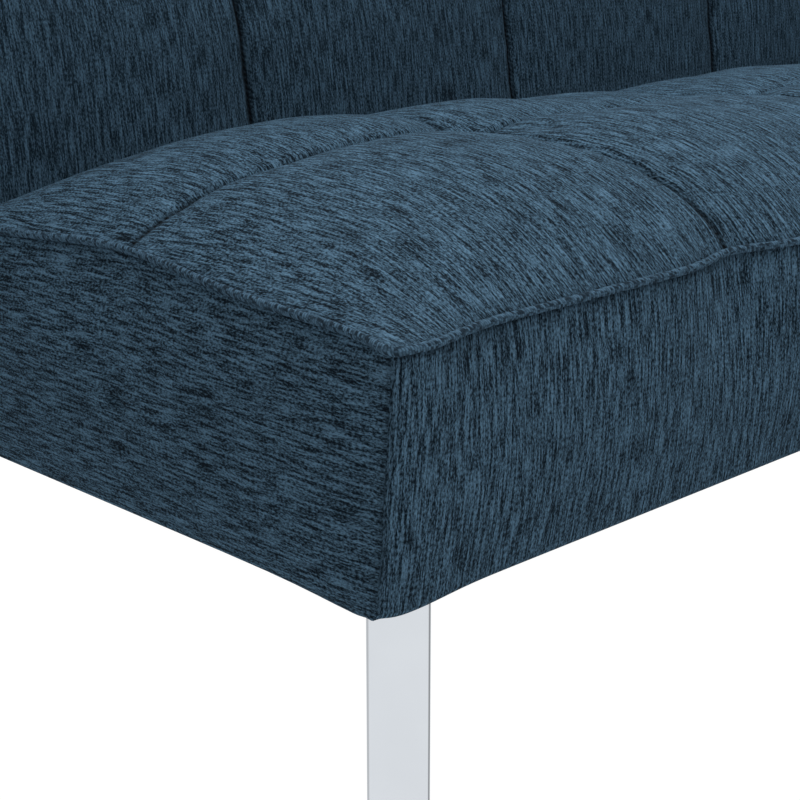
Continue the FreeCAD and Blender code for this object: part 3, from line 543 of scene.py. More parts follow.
@dataclass
class Pad:
    """A boxed cushion whose top panel is stitched into biscuits.

    It is a closed surface on a grid. Stations follow the width x; at each one a closed loop goes round
    the section in y and z. Each end is closed by loops that shrink to the middle of the end face.
    In the pad's own frame x runs 0..width, y from the front edge to the rear edge and z outwards.
    Length round a loop is counted from its point number weave_zero.
    """

    name: str
    width: float
    depth: float
    row_seam: float
    edge: float
    rise: float
    crown: float
    front_reach: float
    end_reach: float
    rear_reach: float
    cross_dip: float
    loft: float
    seed: int
    columns: int = 5
    seam_dip: float = 6.5 * MM
    groove: float = 4.2 * MM
    crossing_reach: float = 21 * MM
    sag: float = 0.0
    sag_across: tuple[float, float] = (0.26, 0.58)
    sag_along: tuple[float, float] = (0.2, 0.35)
    rear_ease: float = 0.0
    rear_from: tuple[float, float] = (0.26, 0.40)
    unevenness: float = 1.6 * MM
    slow_waves: tuple[float, float] = (0.09, 0.26)
    fold: float = 1.1 * MM
    fold_reach: float = 16 * MM
    fold_waves: tuple[float, float] = (14 * MM, 34 * MM)
    per_column: int = 46
    per_row: int = 30
    far: float = 1.0
    weave_zero: int = 0

    @property
    def pitch(self) -> float:
        """Width of one column of biscuits."""
        return self.width / self.columns

    def stations(self) -> np.ndarray:
        """Places of the loops along the width, crowded at the column seams and at both ends."""
        steps = [crowded(k * self.pitch, (k + 1) * self.pitch, self.per_column) for k in range(self.columns)]
        return np.append(np.concatenate(steps), self.width)

    def pillow(self, place: np.ndarray, low: float, high: float) -> np.ndarray:
        """(1 - |2s - 1|^2.3)^0.62 with s running 0..1 from low to high: full in the middle, steep at seams."""
        s = np.clip((place - low) / (high - low), 0.0, 1.0)
        return (1.0 - np.abs(2.0 * s - 1.0) ** 2.3) ** 0.62

    def columns_of(self, x: np.ndarray) -> tuple[np.ndarray, np.ndarray]:
        """The biscuit profile along x, and the distance to the nearest column seam or end.

        Args:
            x: Places along the width.

        Returns:
            The profile, and the distance.
        """
        start = np.minimum(np.floor(x / self.pitch), self.columns - 1) * self.pitch
        profile = self.pillow(x - start, 0.0, self.pitch)
        inner = np.arange(1, self.columns) * self.pitch
        distance = np.abs(x[..., None] - inner).min(axis=-1)
        return profile, distance

    def from_end(self, x: np.ndarray) -> np.ndarray:
        """Distance to the nearer end."""
        return np.minimum(x, self.width - x)

    def wrinkles(self, x: np.ndarray, y: np.ndarray, near_column: np.ndarray,
                 near_row: np.ndarray) -> np.ndarray:
        """Folds that start at the seams and die out within a few centimetres, and a slow unevenness.

        Args:
            x: Places along the width.
            y: Places from the front edge to the rear one.
            near_column: Distances to the nearest column seam.
            near_row: Distances to the row seam.

        Returns:
            Heights to add.
        """
        slow = self.unevenness * ripple(x, y, self.seed, *self.slow_waves)
        pull_x = np.exp(-near_column / self.fold_reach) * ripple(x * 0.25, y, self.seed + 1, *self.fold_waves)
        pull_y = np.exp(-near_row / self.fold_reach) * ripple(x, y * 0.25, self.seed + 2, *self.fold_waves)
        return slow + self.fold * (pull_x + pull_y)

    def panel(self, x: np.ndarray, y: np.ndarray) -> np.ndarray:
        """Height of the stitched panel over its plan.

        Args:
            x: Places along the width.
            y: Places from the front edge to the rear one.

        Returns:
            Heights.
        """
        profile_x, near_column = self.columns_of(x)
        near_row = np.abs(y - self.row_seam)
        profile_y = np.where(y < self.row_seam, self.pillow(y, self.row_start, self.row_seam),
                             self.pillow(y, self.row_seam, self.depth))
        reach = self.end_reach + self.rear_ease * ease(y, *self.rear_from)
        rise_x = (1.0 - np.exp(-x / reach)) * (1.0 - np.exp(-(self.width - x) / reach))
        rise_y = ((1.0 - np.exp(-np.maximum(y, 0.0) / self.front_reach))
                  * (1.0 - np.exp(-np.maximum(self.depth - y, 0.0) / self.rear_reach)))
        inland = rise_x * rise_y
        crossing = np.exp(-(near_column ** 2 + near_row ** 2) / (2.0 * self.crossing_reach ** 2))
        sunk = ease(self.from_end(x), *self.sag_across) * (0.25 + 0.75 * ease(y, *self.sag_along))
        groove = np.maximum(bell(near_column, self.groove), bell(near_row, self.groove))
        risen = (self.rise - self.sag * sunk - self.seam_dip * groove) * inland
        filled = self.crown * profile_x * profile_y * (0.25 + 0.75 * inland)
        folds = self.wrinkles(x, y, near_column, near_row) * ease(inland, 0.0, 0.5)
        return self.edge + self.edge_lift(x, y) + risen + filled - self.cross_dip * crossing + folds

    @property
    def row_start(self) -> float:
        """Where the first row of biscuits starts."""
        return 0.0

    def edge_lift(self, x: np.ndarray, y: np.ndarray) -> np.ndarray:
        """How far the panel's edge stands above its plain height."""
        return np.zeros_like(x)

    def shift(self, x: np.ndarray, y: np.ndarray) -> tuple[np.ndarray, np.ndarray]:
        """How far the panel moves in plan, where its seams draw the edges in."""
        raise NotImplementedError

    def loops(self, x: np.ndarray) -> dict[str, np.ndarray]:
        """The section loops at the stations: arrays x, y, z and the distances to seams."""
        raise NotImplementedError

    def end_middle(self) -> Place:
        """Middle of the left end face."""
        raise NotImplementedError

    def place(self, points: np.ndarray) -> np.ndarray:
        """Moves points from the pad's own frame to the object's."""
        raise NotImplementedError

    def surface(self) -> dict[str, np.ndarray]:
        """All points of the closed grid with its weave map and its distances to the seams.

        An end ring of scale w is the end loop drawn towards the end's middle by w, with its x eased from
        the loop's own x to the middle's.

        Returns:
            The grid, the middles of its ends, the number of end rings and the section loops.
        """
        loop = self.loops(self.stations())
        rim = np.stack([loop["x"], loop["y"], loop["z"]], axis=-1)
        scales = np.array([0.03, 0.12, 0.24, 0.38, 0.52, 0.65, 0.76, 0.85, 0.915, 0.955, 0.98, 0.993])
        left = np.array(self.end_middle())
        right = left * [-1, 1, 1] + [self.width, 0, 0]
        rings = []
        for middle, edge in ((left, rim[0]), (right, rim[-1])):
            ring = middle + (edge[None] - middle) * scales[:, None, None]
            ring[..., 0] = middle[0] + (edge[None, :, 0] - middle[0]) * scales[:, None] ** 3
            rings.append(ring)
        grid = np.concatenate([rings[0], rim, rings[1][::-1]])
        return {"grid": grid, "left": left, "right": right, "caps": len(scales), "loop": loop}

    def build(self, quick: bool) -> bpy.types.Object:
        """Makes the pad's mesh object, relaxed by a cloth simulation unless quick.

        Args:
            quick: True to leave the simulation out.

        Returns:
            The mesh object.
        """
        made = self.surface()
        grid = made["grid"]
        if not quick:
            grid = grid + self.relaxed(made)
        return self.mesh(made, grid)

    def relaxed(self, made: dict[str, np.ndarray]) -> np.ndarray:
        """How far each grid point moves when a coarse copy of the cover is blown up between its seams.

        Args:
            made: What surface() returned.

        Returns:
            Moves of the grid, in the pad's own frame.
        """
        grid, loop, caps = made["grid"], made["loop"], made["caps"]
        step = 3
        sewn = caps + np.flatnonzero(self.columns_of(self.stations())[1] < MM)
        rows = sorted({*range(0, grid.shape[0], step), *sewn.tolist(), caps, grid.shape[0] - caps - 1})
        cols = sorted(set(range(0, grid.shape[1], step)) | set(loop["keys"]))
        tight = np.zeros(grid.shape[:2])
        tight[caps:-caps] = np.minimum.reduce([loop[key] for key in SEAMS]) < 2 * MM
        tight[caps:-caps][:, loop["hard"]] = 1.0
        tight[[caps, -caps - 1]] = 1.0
        held = tight[np.ix_(rows, cols)]
        moved = blow_up(self.place(grid[np.ix_(rows, cols)]), self.place(made["left"]),
                        self.place(made["right"]), held, self.loft)
        moved = moved * (1.0 - held)[..., None]
        wide = spread(moved, rows, grid.shape[0]).swapaxes(0, 1)
        closed = np.concatenate([wide, wide[:1]])
        return self.unplace(spread(closed, cols + [grid.shape[1]], grid.shape[1]).swapaxes(0, 1))

    def unplace(self, moves: np.ndarray) -> np.ndarray:
        """Turns moves from the object's frame back to the pad's own.

        Args:
            moves: Moves in the object's frame.

        Returns:
            Moves in the pad's own frame.
        """
        zero = self.place(np.zeros(3))
        basis = np.stack([self.place(axis) - zero for axis in np.eye(3)])
        return moves @ basis.T

    def mesh(self, made: dict[str, np.ndarray], grid: np.ndarray) -> bpy.types.Object:
        """Puts the grid into a mesh with its weave map and seam distances.

        Args:
            made: What surface() returned.
            grid: The points, ring by ring.

        Returns:
            The mesh object.
        """
        loop, caps = made["loop"], made["caps"]
        rings, around = grid.shape[:2]
        points = np.concatenate([grid.reshape(-1, 3), made["left"][None], made["right"][None]])
        values = {}
        for key in SEAMS:
            numbers = np.full((rings, around), self.far)
            numbers[caps:-caps] = loop[key]
            if key == "near_edge":
                for part, rim in ((slice(0, caps), grid[caps]), (slice(rings - caps, rings), grid[-caps - 1])):
                    gap = np.linalg.norm(grid[part] - rim[None], axis=-1)
                    numbers[part] = np.where(loop["boxed"], gap, self.far)
            values[key] = np.append(numbers.reshape(-1), [self.far, self.far])
        weave = [self.weave_corners(grid, caps), *self.fan_corners(grid, made)]
        return make_mesh(self.name, self.place(points), shell(rings, around), weave, values)

    def weave_corners(self, grid: np.ndarray, caps: int) -> np.ndarray:
        """The weave map at each corner of the grid's faces.

        On the body it is (station x, length round the loop); on an end it is (height, depth).

        Args:
            grid: The points, ring by ring.
            caps: Rings in each end.

        Returns:
            One pair for each corner.
        """
        rings, around = grid.shape[:2]
        closed = np.concatenate([grid, grid[:, :1]], axis=1)
        steps = np.linalg.norm(np.diff(closed[:, :, 1:], axis=1), axis=-1)
        length = np.concatenate([np.zeros((rings, 1)), np.cumsum(steps, axis=1)], axis=1)
        zero = length[:, self.weave_zero][:, None]
        body = np.stack([closed[..., 0], length - zero], axis=-1)
        end = np.stack([closed[..., 2], closed[..., 1]], axis=-1)
        ring = np.arange(rings - 1)
        on_end = ((ring < caps) | (ring >= rings - 1 - caps))[:, None, None, None]
        corners = [np.stack([flat[:-1, :-1], flat[:-1, 1:], flat[1:, 1:], flat[1:, :-1]], axis=2)
                   for flat in (end, body)]
        return np.where(on_end, *corners).reshape(-1, 2)

    def edges(self, offset: float, lift: float) -> list[np.ndarray]:
        """Lines along the panel's four edges for a welt.

        Args:
            offset: How far each line stands outside its edge.
            lift: How far it stands above the edge, as a share of the offset.

        Returns:
            The front and rear lines from left to right, and the left and right ones from front to rear.
        """
        made = self.surface()
        first, last = made["loop"]["keys"][:2]
        body = made["grid"][made["caps"]:-made["caps"]]
        lines = (body[:, first], body[:, last], body[0, first:last + 1], body[-1, first:last + 1])
        outwards = ((0.0, -1.0), (0.0, 1.0), (-1.0, 0.0), (1.0, 0.0))
        return [line + offset * np.array([*out, lift]) for line, out in zip(lines, outwards)]

    def fan_corners(self, grid: np.ndarray, made: dict[str, np.ndarray]) -> list[np.ndarray]:
        """The weave map on the two small fans that close the ends.

        Args:
            grid: The points, ring by ring.
            made: What surface() returned.

        Returns:
            The map of the left fan and of the right one.
        """
        result = []
        for ring, middle, order in ((grid[0], made["left"], (1, 0)), (grid[-1], made["right"], (0, 1))):
            closed = np.concatenate([ring, ring[:1]])
            flat = closed[:, [2, 1]]
            centre = np.broadcast_to(middle[[2, 1]], (len(ring), 2))
            pair = (flat[:-1], flat[1:])
            result.append(np.stack([centre, pair[order[0]], pair[order[1]]], axis=1).reshape(-1, 2))
        return result


def make_mesh(name: str, points: np.ndarray, faces: list[np.ndarray], weave: list[np.ndarray],
              values: dict[str, np.ndarray]) -> bpy.types.Object:
    """Fills a mesh with points, faces, a weave map and numbers on its points.

    Faces are turned as a whole so that the closed surface's signed volume is positive.

    Args:
        name: The object's name.
        points: Points in the object's frame.
        faces: Corners of the faces, one array for each kind.
        weave: Weave map of each of those arrays.
        values: Numbers on the points, by name.

    Returns:
        The linked object.
    """
    counts = np.concatenate([np.full(len(part), part.shape[1]) for part in faces])
    corners = np.concatenate([part.reshape(-1) for part in faces])
    mesh = bpy.data.meshes.new(name)
    mesh.vertices.add(len(points))
    mesh.vertices.foreach_set("co", points.astype(np.float32).reshape(-1))
    mesh.loops.add(len(corners))
    mesh.loops.foreach_set("vertex_index", corners.astype(np.int32))
    mesh.polygons.add(len(counts))
    mesh.polygons.foreach_set("loop_start", np.concatenate([[0], np.cumsum(counts)[:-1]]).astype(np.int32))
    mesh.polygons.foreach_set("loop_total", counts.astype(np.int32))
    mesh.polygons.foreach_set("use_smooth", np.ones(len(counts), dtype=bool))
    layer = mesh.uv_layers.new(name="weave")
    layer.data.foreach_set("uv", np.concatenate(weave).astype(np.float32).reshape(-1))
    for key, numbers in values.items():
        mesh.attributes.new(key, "FLOAT", "POINT").data.foreach_set("value", numbers.astype(np.float32))
    mesh.update(calc_edges=True)
    mesh.validate()
    first = faces[0]
    a, b, c = points[first[:, 0]], points[first[:, 1]], points[first[:, 2]]
    centre = points.mean(axis=0)
    if np.einsum("ij,ij->i", a - centre, np.cross(b - a, c - a)).sum() < 0:
        mesh.flip_normals()
    thing = bpy.data.objects.new(name, mesh)
    bpy.context.scene.collection.objects.link(thing)
    return thing


def blow_up(rough: np.ndarray, left: np.ndarray, right: np.ndarray, held: np.ndarray,
            cap: float, pressure: float = 4.0, frames: int = 16) -> np.ndarray:
    """Blows up a coarse closed grid with Blender's Cloth, held along its seams.

    Args:
        rough: Points of the coarse grid, in the object's frame.
        left: Middle of the left end.
        right: Middle of the right end.
        held: 1 where a point is sewn or stapled down.
        cap: The furthest that a point may move.
        pressure: Pressure inside the cover.
        frames: Length of the simulation.

    Returns:
        How far each point moved.
    """
    rings, around = rough.shape[:2]
    count = rings * around
    faces = shell(rings, around)
    points = np.concatenate([rough.reshape(-1, 3), left[None], right[None]])
    thing = make_mesh("cover_trial", points, faces, [np.zeros((part.size, 2)) for part in faces], {})
    group = thing.vertex_groups.new(name="sewn")
    group.add(np.flatnonzero(held.reshape(-1) > 0.5).tolist(), 1.0, "REPLACE")
    cloth = thing.modifiers.new("cloth", "CLOTH")
    cloth.settings.vertex_group_mass = "sewn"
    cloth.settings.use_pressure = True
    cloth.settings.uniform_pressure_force = pressure
    cloth.settings.tension_stiffness = 8.0
    cloth.settings.compression_stiffness = 8.0
    cloth.settings.bending_stiffness = 0.4
    cloth.settings.effector_weights.gravity = 0.0
    cloth.settings.quality = 5
    cloth.point_cache.frame_start = 1
    cloth.point_cache.frame_end = frames
    scene = bpy.context.scene
    for step in range(1, frames + 1):
        scene.frame_set(step)
    solved = thing.evaluated_get(bpy.context.evaluated_depsgraph_get())
    flat = np.empty(len(points) * 3, dtype=np.float32)
    solved.data.vertices.foreach_get("co", flat)
    moved = flat.reshape(-1, 3)[:count].astype(float) - points[:count]
    size = np.linalg.norm(moved, axis=1, keepdims=True)
    moved = moved * np.minimum(1.0, cap / np.maximum(size, 1e-9))
    mesh = thing.data
    bpy.data.objects.remove(thing)
    bpy.data.meshes.remove(mesh)
    scene.frame_set(1)
    return np.nan_to_num(moved).reshape(rings, around, 3)


@dataclass
class SeatPad(Pad):
    """The seat: five columns and two rows of biscuits on a boxed cushion over the frame."""

    corner: Place = (0.0, 0.0, 0.0)
    bulge: float = 5 * MM
    recess: float = 6.2 * MM
    lip: float = 19 * MM
    hem: float = 4 * MM
    drawn_in: float = 14 * MM
    scallop: float = 38 * MM
    corner_out: float = 12 * MM
    fade: float = 30 * MM
    flared: float = 3 * MM
    hang_front: float = 2.2 * MM
    hang_corner: float = 4.2 * MM
    wall_steps: int = 22
    weave_zero: int = 13

    def front_edge(self, x: np.ndarray) -> np.ndarray:
        """Front edge in plan: forward between seams, most at the corners, drawn in at each seam.

        Args:
            x: Places along the width.

        Returns:
            Places from front to rear.
        """
        inner = np.arange(1, self.columns) * self.pitch
        drawn = self.drawn_in * bell(x[..., None] - inner, self.scallop).sum(axis=-1)
        corners = bell(x - 20 * MM, self.scallop) + bell(self.width - x - 20 * MM, self.scallop)
        return -4.5 * MM - self.corner_out * corners + drawn

    def end_edge(self, y: np.ndarray) -> tuple[np.ndarray, np.ndarray]:
        """End edge: how far it is drawn inwards and lifted, most at the row seam.

        Args:
            y: Places from the front edge to the rear one.

        Returns:
            The inward move, and the lift.
        """
        gather = bell(y - self.row_seam - 8 * MM, 108 * MM)
        settle = 1.0 - np.exp(-np.maximum(y, 0.0) / (20 * MM))
        return -4 * MM + 8 * MM * settle + 12 * MM * gather, 4 * MM * settle + 8.5 * MM * gather

    def edge_lift(self, x: np.ndarray, y: np.ndarray) -> np.ndarray:
        """The end edges' lift, fading inwards."""
        fade = np.exp(-x / self.fade) + np.exp(-(self.width - x) / self.fade)
        return self.end_edge(y)[1] * fade

    def shift(self, x: np.ndarray, y: np.ndarray) -> tuple[np.ndarray, np.ndarray]:
        """Plan moves of the panel: full at an edge, fading inwards.

        Args:
            x: Places along the width.
            y: Places from the front edge to the rear one.

        Returns:
            The moves in x and in y.
        """
        reach = self.fade
        inward = self.end_edge(y)[0]
        move_x = inward * (np.exp(-x / reach) - np.exp(-(self.width - x) / reach))
        front = self.front_edge(x)
        move_y = front * np.exp(-y / reach) - front * 0.1 * np.exp(-(self.depth - y) / reach)
        return move_x, move_y

    def flare(self, x: np.ndarray) -> np.ndarray:
        """The lower corners stand out a little at both ends."""
        return self.flared * (np.exp(-(self.width - x) / self.fade) - np.exp(-x / self.fade))

    def under(self, x: np.ndarray, y: np.ndarray) -> np.ndarray:
        """Height of the underside: a lip round the edge, hanging at its corners, and a recess inside it.

        Args:
            x: Places along the width.
            y: Places from the front edge to the rear one.

        Returns:
            Heights.
        """
        edge = np.minimum(np.minimum(x, self.width - x), np.minimum(y, self.depth - y))
        inner = ease(edge, self.lip - 1.4 * MM, self.lip - 0.1 * MM)
        return self.recess * inner + (1.0 - inner) * self.hang(x, y)

    def hang(self, x: np.ndarray, y: np.ndarray) -> np.ndarray:
        """How far the lip hangs along the front, and along each end near the front corner.

        Args:
            x: Places along the width.
            y: Places from the front edge to the rear one.

        Returns:
            Heights, below zero.
        """
        inward = self.from_end(x)
        front = -(self.hang_front + 3.0 * MM * bell(inward - 30 * MM, 36 * MM)) * bell(y, 25 * MM)
        end = -self.hang_corner * bell(y, 62 * MM) * bell(inward, self.fade)
        return np.minimum(front, end) + 2.8 * MM * bell(np.hypot(inward, y), 12 * MM)

    def loops(self, x: np.ndarray) -> dict[str, np.ndarray]:
        """Underside, front wall, panel, rear wall and underside again, one closed loop a station.

        Args:
            x: Places along the width.

        Returns:
            Arrays x, y, z and seam distances, and which points are boxed, hard or key.
        """
        col = x[:, None]
        depth = self.depth
        half = depth / 2
        inset = np.array([half, half * 0.6, 100 * MM, 75 * MM, 55 * MM, 38 * MM, self.lip + 3 * MM, self.lip,
                          self.lip - 1.5 * MM, 12 * MM])
        wall = np.linspace(0.0, 1.0, self.wall_steps + 1)[:-1]
        rows = [crowded(0.0, self.row_seam, self.per_row), crowded(self.row_seam, depth, self.per_row)]
        top = np.append(np.concatenate(rows), depth)
        hem = np.array([1.0, 0.62, 0.3])
        section = Section(len(x))
        sag = self.hang(col, np.zeros_like(col))
        nominal = np.broadcast_to(inset[None], (len(x), len(inset)))
        section.add(col, nominal, self.under(col, nominal), "under")
        rounding = self.hem * (1.0 - np.sqrt(1.0 - (1.0 - hem) ** 2))
        section.add(col + self.flare(col), self.hem * hem[None], rounding[None] + sag, "under")
        low_x, low_y = self.shift(col, np.zeros_like(col))
        rise = wall[None]
        swell = self.bulge * np.sin(math.pi * rise) * (1.0 - 0.5 * bell(col, 50 * MM)
                                                       - 0.5 * bell(self.width - col, 50 * MM))
        edge_height = self.edge + self.edge_lift(col, np.zeros_like(col))
        drape = 1.4 * MM * ripple(col, rise * 0.1, self.seed + 5, 0.05, 0.16) * np.sin(math.pi * rise)
        start = self.hem
        wall_z = start + sag * (1.0 - rise) + (edge_height - start) * rise
        section.add(col + low_x * rise + self.flare(col) * (1.0 - rise), low_y * rise ** 1.3 - swell + drape,
                    wall_z, "wall")
        first = len(section.tags)
        plan = np.broadcast_to(top[None], (len(x), len(top)))
        wide = np.broadcast_to(col, plan.shape)
        move_x, move_y = self.shift(wide, plan)
        section.add(wide + move_x, plan + move_y, self.panel(wide, plan), "panel")
        last = len(section.tags) - 1
        high_x, high_y = self.shift(col, np.full_like(col, depth))
        fall = wall[::-1][None]
        swell_rear = 0.2 * self.bulge * np.sin(math.pi * fall)
        edge_rear = self.edge + self.edge_lift(col, np.full_like(col, depth))
        section.add(col + high_x * fall, depth + high_y * fall + swell_rear, start + (edge_rear - start) * fall,
                    "wall")
        section.add(col, depth - self.hem * hem[::-1][None], rounding[::-1][None], "under")
        back = depth - nominal[:, :0:-1]
        section.add(col, back, self.under(col, back), "under")
        all_x, y, z, tags = section.joined()
        under, on_panel = tags == "under", (tags == "panel")[None]
        nominal_y = np.zeros(len(tags))
        nominal_y[first:last + 1] = top
        near_column = self.columns_of(np.broadcast_to(col, y.shape))[1]
        near_row = np.abs(nominal_y - self.row_seam)[None] * np.ones_like(y)
        from_rim = np.minimum(nominal_y, depth - nominal_y)[None] * on_panel
        from_welt = np.where(on_panel, from_rim, np.abs(self.edge - z))
        near_edge = np.minimum(self.from_end(col), from_welt)
        return {"x": all_x, "y": y, "z": z,
                "near_column": np.where(on_panel, near_column, self.far),
                "near_row": np.where(on_panel, near_row, self.far),
                "near_edge": np.where(under, self.far, near_edge),
                "boxed": tags == "wall",
                "hard": under | np.isin(np.arange(len(tags)), [first, last]),
                "keys": [first, last, first + self.per_row]}

    def end_middle(self) -> Place:
        """A little outside the end, half-way up."""
        return -6 * MM, self.depth / 2, self.edge / 2

    def place(self, points: np.ndarray) -> np.ndarray:
        """The pad's corner is the seat's lower front left corner."""
        return points + np.array(self.corner)


@dataclass
class BackPad(Pad):
    """The back: the same columns, a row seam half-way up, a round heel and slots for the hinges."""

    half: float = 95 * MM
    heel: float = 66 * MM
    tail: float = 50 * MM
    brow: float = 30 * MM
    slack: float = 1.0 * MM
    lean: float = 0.0
    pivot: Place = (0.0, 0.0, 0.0)
    slots: tuple[tuple[float, float], ...] = ()
    slot_deep: float = 143 * MM
    slot_front: float = 48 * MM

    @property
    def row_start(self) -> float:
        """The first row starts under the heel."""
        return -30 * MM

    def stations(self) -> np.ndarray:
        """The seams' stations with two more at each wall of each slot.

        Returns:
            Places along the width.
        """
        plain = super().stations()
        walls = []
        for low, high in self.slots:
            plain = plain[(plain < low - 2 * MM) | (plain > high + 2 * MM)]
            walls += [low - 0.4 * MM, low, (low + high) / 2, high, high + 0.4 * MM]
        return np.sort(np.concatenate([plain, walls]))

    def shift(self, x: np.ndarray, y: np.ndarray) -> tuple[np.ndarray, np.ndarray]:
        """Plan moves of the panel at its two ends and its upper edge.

        Args:
            x: Places along the width.
            y: Places from the front edge to the rear one.

        Returns:
            The moves in x and in y.
        """
        reach = 26 * MM
        inward = 1 * MM + 9 * MM * bell(y - self.row_seam, 70 * MM)
        move_x = inward * (np.exp(-x / reach) - np.exp(-(self.width - x) / reach))
        inner = np.arange(1, self.columns) * self.pitch
        drawn = (10 * MM) * bell(x[..., None] - inner, 36 * MM).sum(axis=-1)
        return move_x, -(drawn - 2 * MM) * np.exp(-(self.depth - y) / reach)

    def loops(self, x: np.ndarray) -> dict[str, np.ndarray]:
        """Rear face, round tail, heel, panel, upper wall and rear face again, one loop a station.

        Args:
            x: Places along the width.

        Returns:
            Arrays x, y, z and seam distances, and which points are boxed, hard or key.
        """
        col = x[:, None]
        half, depth = self.half, self.depth
        quarter = np.linspace(0.0, math.pi / 2, 13)[:-1]
        section = Section(len(x))
        rear = np.linspace(depth / 2, self.tail, 14)[:-1][None]
        rear_face = self.slack - half
        section.add(col, rear, rear_face, "rear")
        section.add(col, (self.tail - self.tail * np.sin(quarter))[None],
                    (self.tail - half - (self.tail - self.slack) * np.cos(quarter))[None], "heel")
        low, high = self.tail - half, half - self.heel
        section.add(col, 0.0, np.linspace(low, high, 9)[:-1][None], "heel")
        top_rows = [crowded(self.heel, self.row_seam, self.per_row),
                    crowded(self.row_seam, depth, self.per_row)]
        top = np.append(np.concatenate(top_rows), depth)
        start_height = self.panel(col, np.full_like(col, self.heel))
        arc = np.linspace(0.0, math.pi / 2, 15)[:-1]
        section.add(col, (self.heel * (1.0 - np.cos(arc)))[None],
                    high + (start_height - high) * np.sin(arc)[None], "heel")
        first = len(section.tags)
        plan = np.broadcast_to(top[None], (len(x), len(top)))
        wide = np.broadcast_to(col, plan.shape)
        move_x, move_y = self.shift(wide, plan)
        panel_y, panel_z = plan + move_y, self.panel(wide, plan)
        section.add(col, panel_y, panel_z, "panel")
        last = len(section.tags) - 1
        edge_y, edge_z = panel_y[:, -1:], panel_z[:, -1:]
        t = np.linspace(0.0, 1.0, 15)[1:][None]
        lower = self.brow - half
        section.add(col, edge_y + (depth - edge_y) * ease(t, 0.0, 0.4) + 4 * MM * np.sin(math.pi * t),
                    edge_z + (lower - edge_z) * t, "wall")
        turn = np.linspace(0.0, math.pi / 2, 9)[1:]
        section.add(col, (depth - self.brow * (1.0 - np.cos(turn)))[None],
                    (lower - (self.brow - self.slack) * np.sin(turn))[None], "rear")
        section.add(col, np.linspace(depth - self.brow, depth / 2, 14)[1:-1][None], rear_face, "rear")
        xs, y, z, tags = section.joined()
        xs[:, first:last + 1] += move_x
        xs[:, last + 1:last + 15] += move_x[:, -1:] * np.exp(-np.arange(1, 15) / 5.0)
        xs[:, first - 14:first] += move_x[:, :1] * t
        y, z = self.notch(x, y, z)
        near_column = self.columns_of(np.broadcast_to(col, y.shape))[1]
        nominal = np.full(len(tags), self.far * 2)
        nominal[first:last + 1] = top
        near_row = np.abs(nominal - self.row_seam)[None] * np.ones_like(y)
        front = np.isin(tags, ["panel", "heel"])[None] & (z > 0.0)
        return {"x": xs, "y": y, "z": z,
                "near_column": np.where(front, near_column, self.far),
                "near_row": np.where(tags == "panel", near_row, self.far),
                "near_edge": np.where(tags != "panel", self.from_end(col), self.far),
                "boxed": tags != "panel",
                "hard": np.isin(tags, ["heel", "rear"]) | np.isin(np.arange(len(tags)), [first, last]),
                "keys": [first, last, first + self.per_row]}

    def notch(self, x: np.ndarray, y: np.ndarray, z: np.ndarray) -> tuple[np.ndarray, np.ndarray]:
        """Cuts a slot for each hinge by moving its stations' loops inwards.

        In a slot, the stretch from the rear face at the slot's top round to the heel at its front wall
        follows the slot's two walls instead, at the same share of its length.

        Args:
            x: Places along the width.
            y: Places from the front edge to the rear one.
            z: Heights.

        Returns:
            The new y and z.
        """
        y, z = y.copy(), z.copy()
        for low, high in self.slots:
            inside = np.flatnonzero((x >= low - 1e-6) & (x <= high + 1e-6))
            for station in inside:
                start = int(np.argmax(y[station] <= self.slot_deep))
                stop = int(np.argmax((z[station] > self.slot_front) & (np.arange(len(z[station])) > start)))
                middle = (start + stop) // 2
                y[station, start:middle] = self.slot_deep
                z[station, start:middle] = np.linspace(z[station, start], self.slot_front, middle - start)
                y[station, middle:stop] = np.linspace(self.slot_deep, y[station, stop], stop - middle + 1)[:-1]
                z[station, middle:stop] = np.linspace(self.slot_front, z[station, stop], stop - middle + 1)[:-1]
        return y, z

    def end_middle(self) -> Place:
        """A little outside the end, in the middle of its height."""
        return -5 * MM, self.depth / 2, 0.0

    def place(self, points: np.ndarray) -> np.ndarray:
        """Stands the pad up, leans it and puts its pivot line on the hinge.

        The pad's (x, y, z) is (x, -z, y) in the back's frame, which leans rearwards about x.

        Args:
            points: Points in the pad's own frame.

        Returns:
            Points in the object's frame.
        """
        x = points[..., 0] - self.width / 2
        y = -points[..., 2]
        z = points[..., 1] - self.half
        c, s = math.cos(self.lean), math.sin(self.lean)
        turned = np.stack([x, y * c + z * s, -y * s + z * c], axis=-1)
        return turned + np.array(self.pivot)


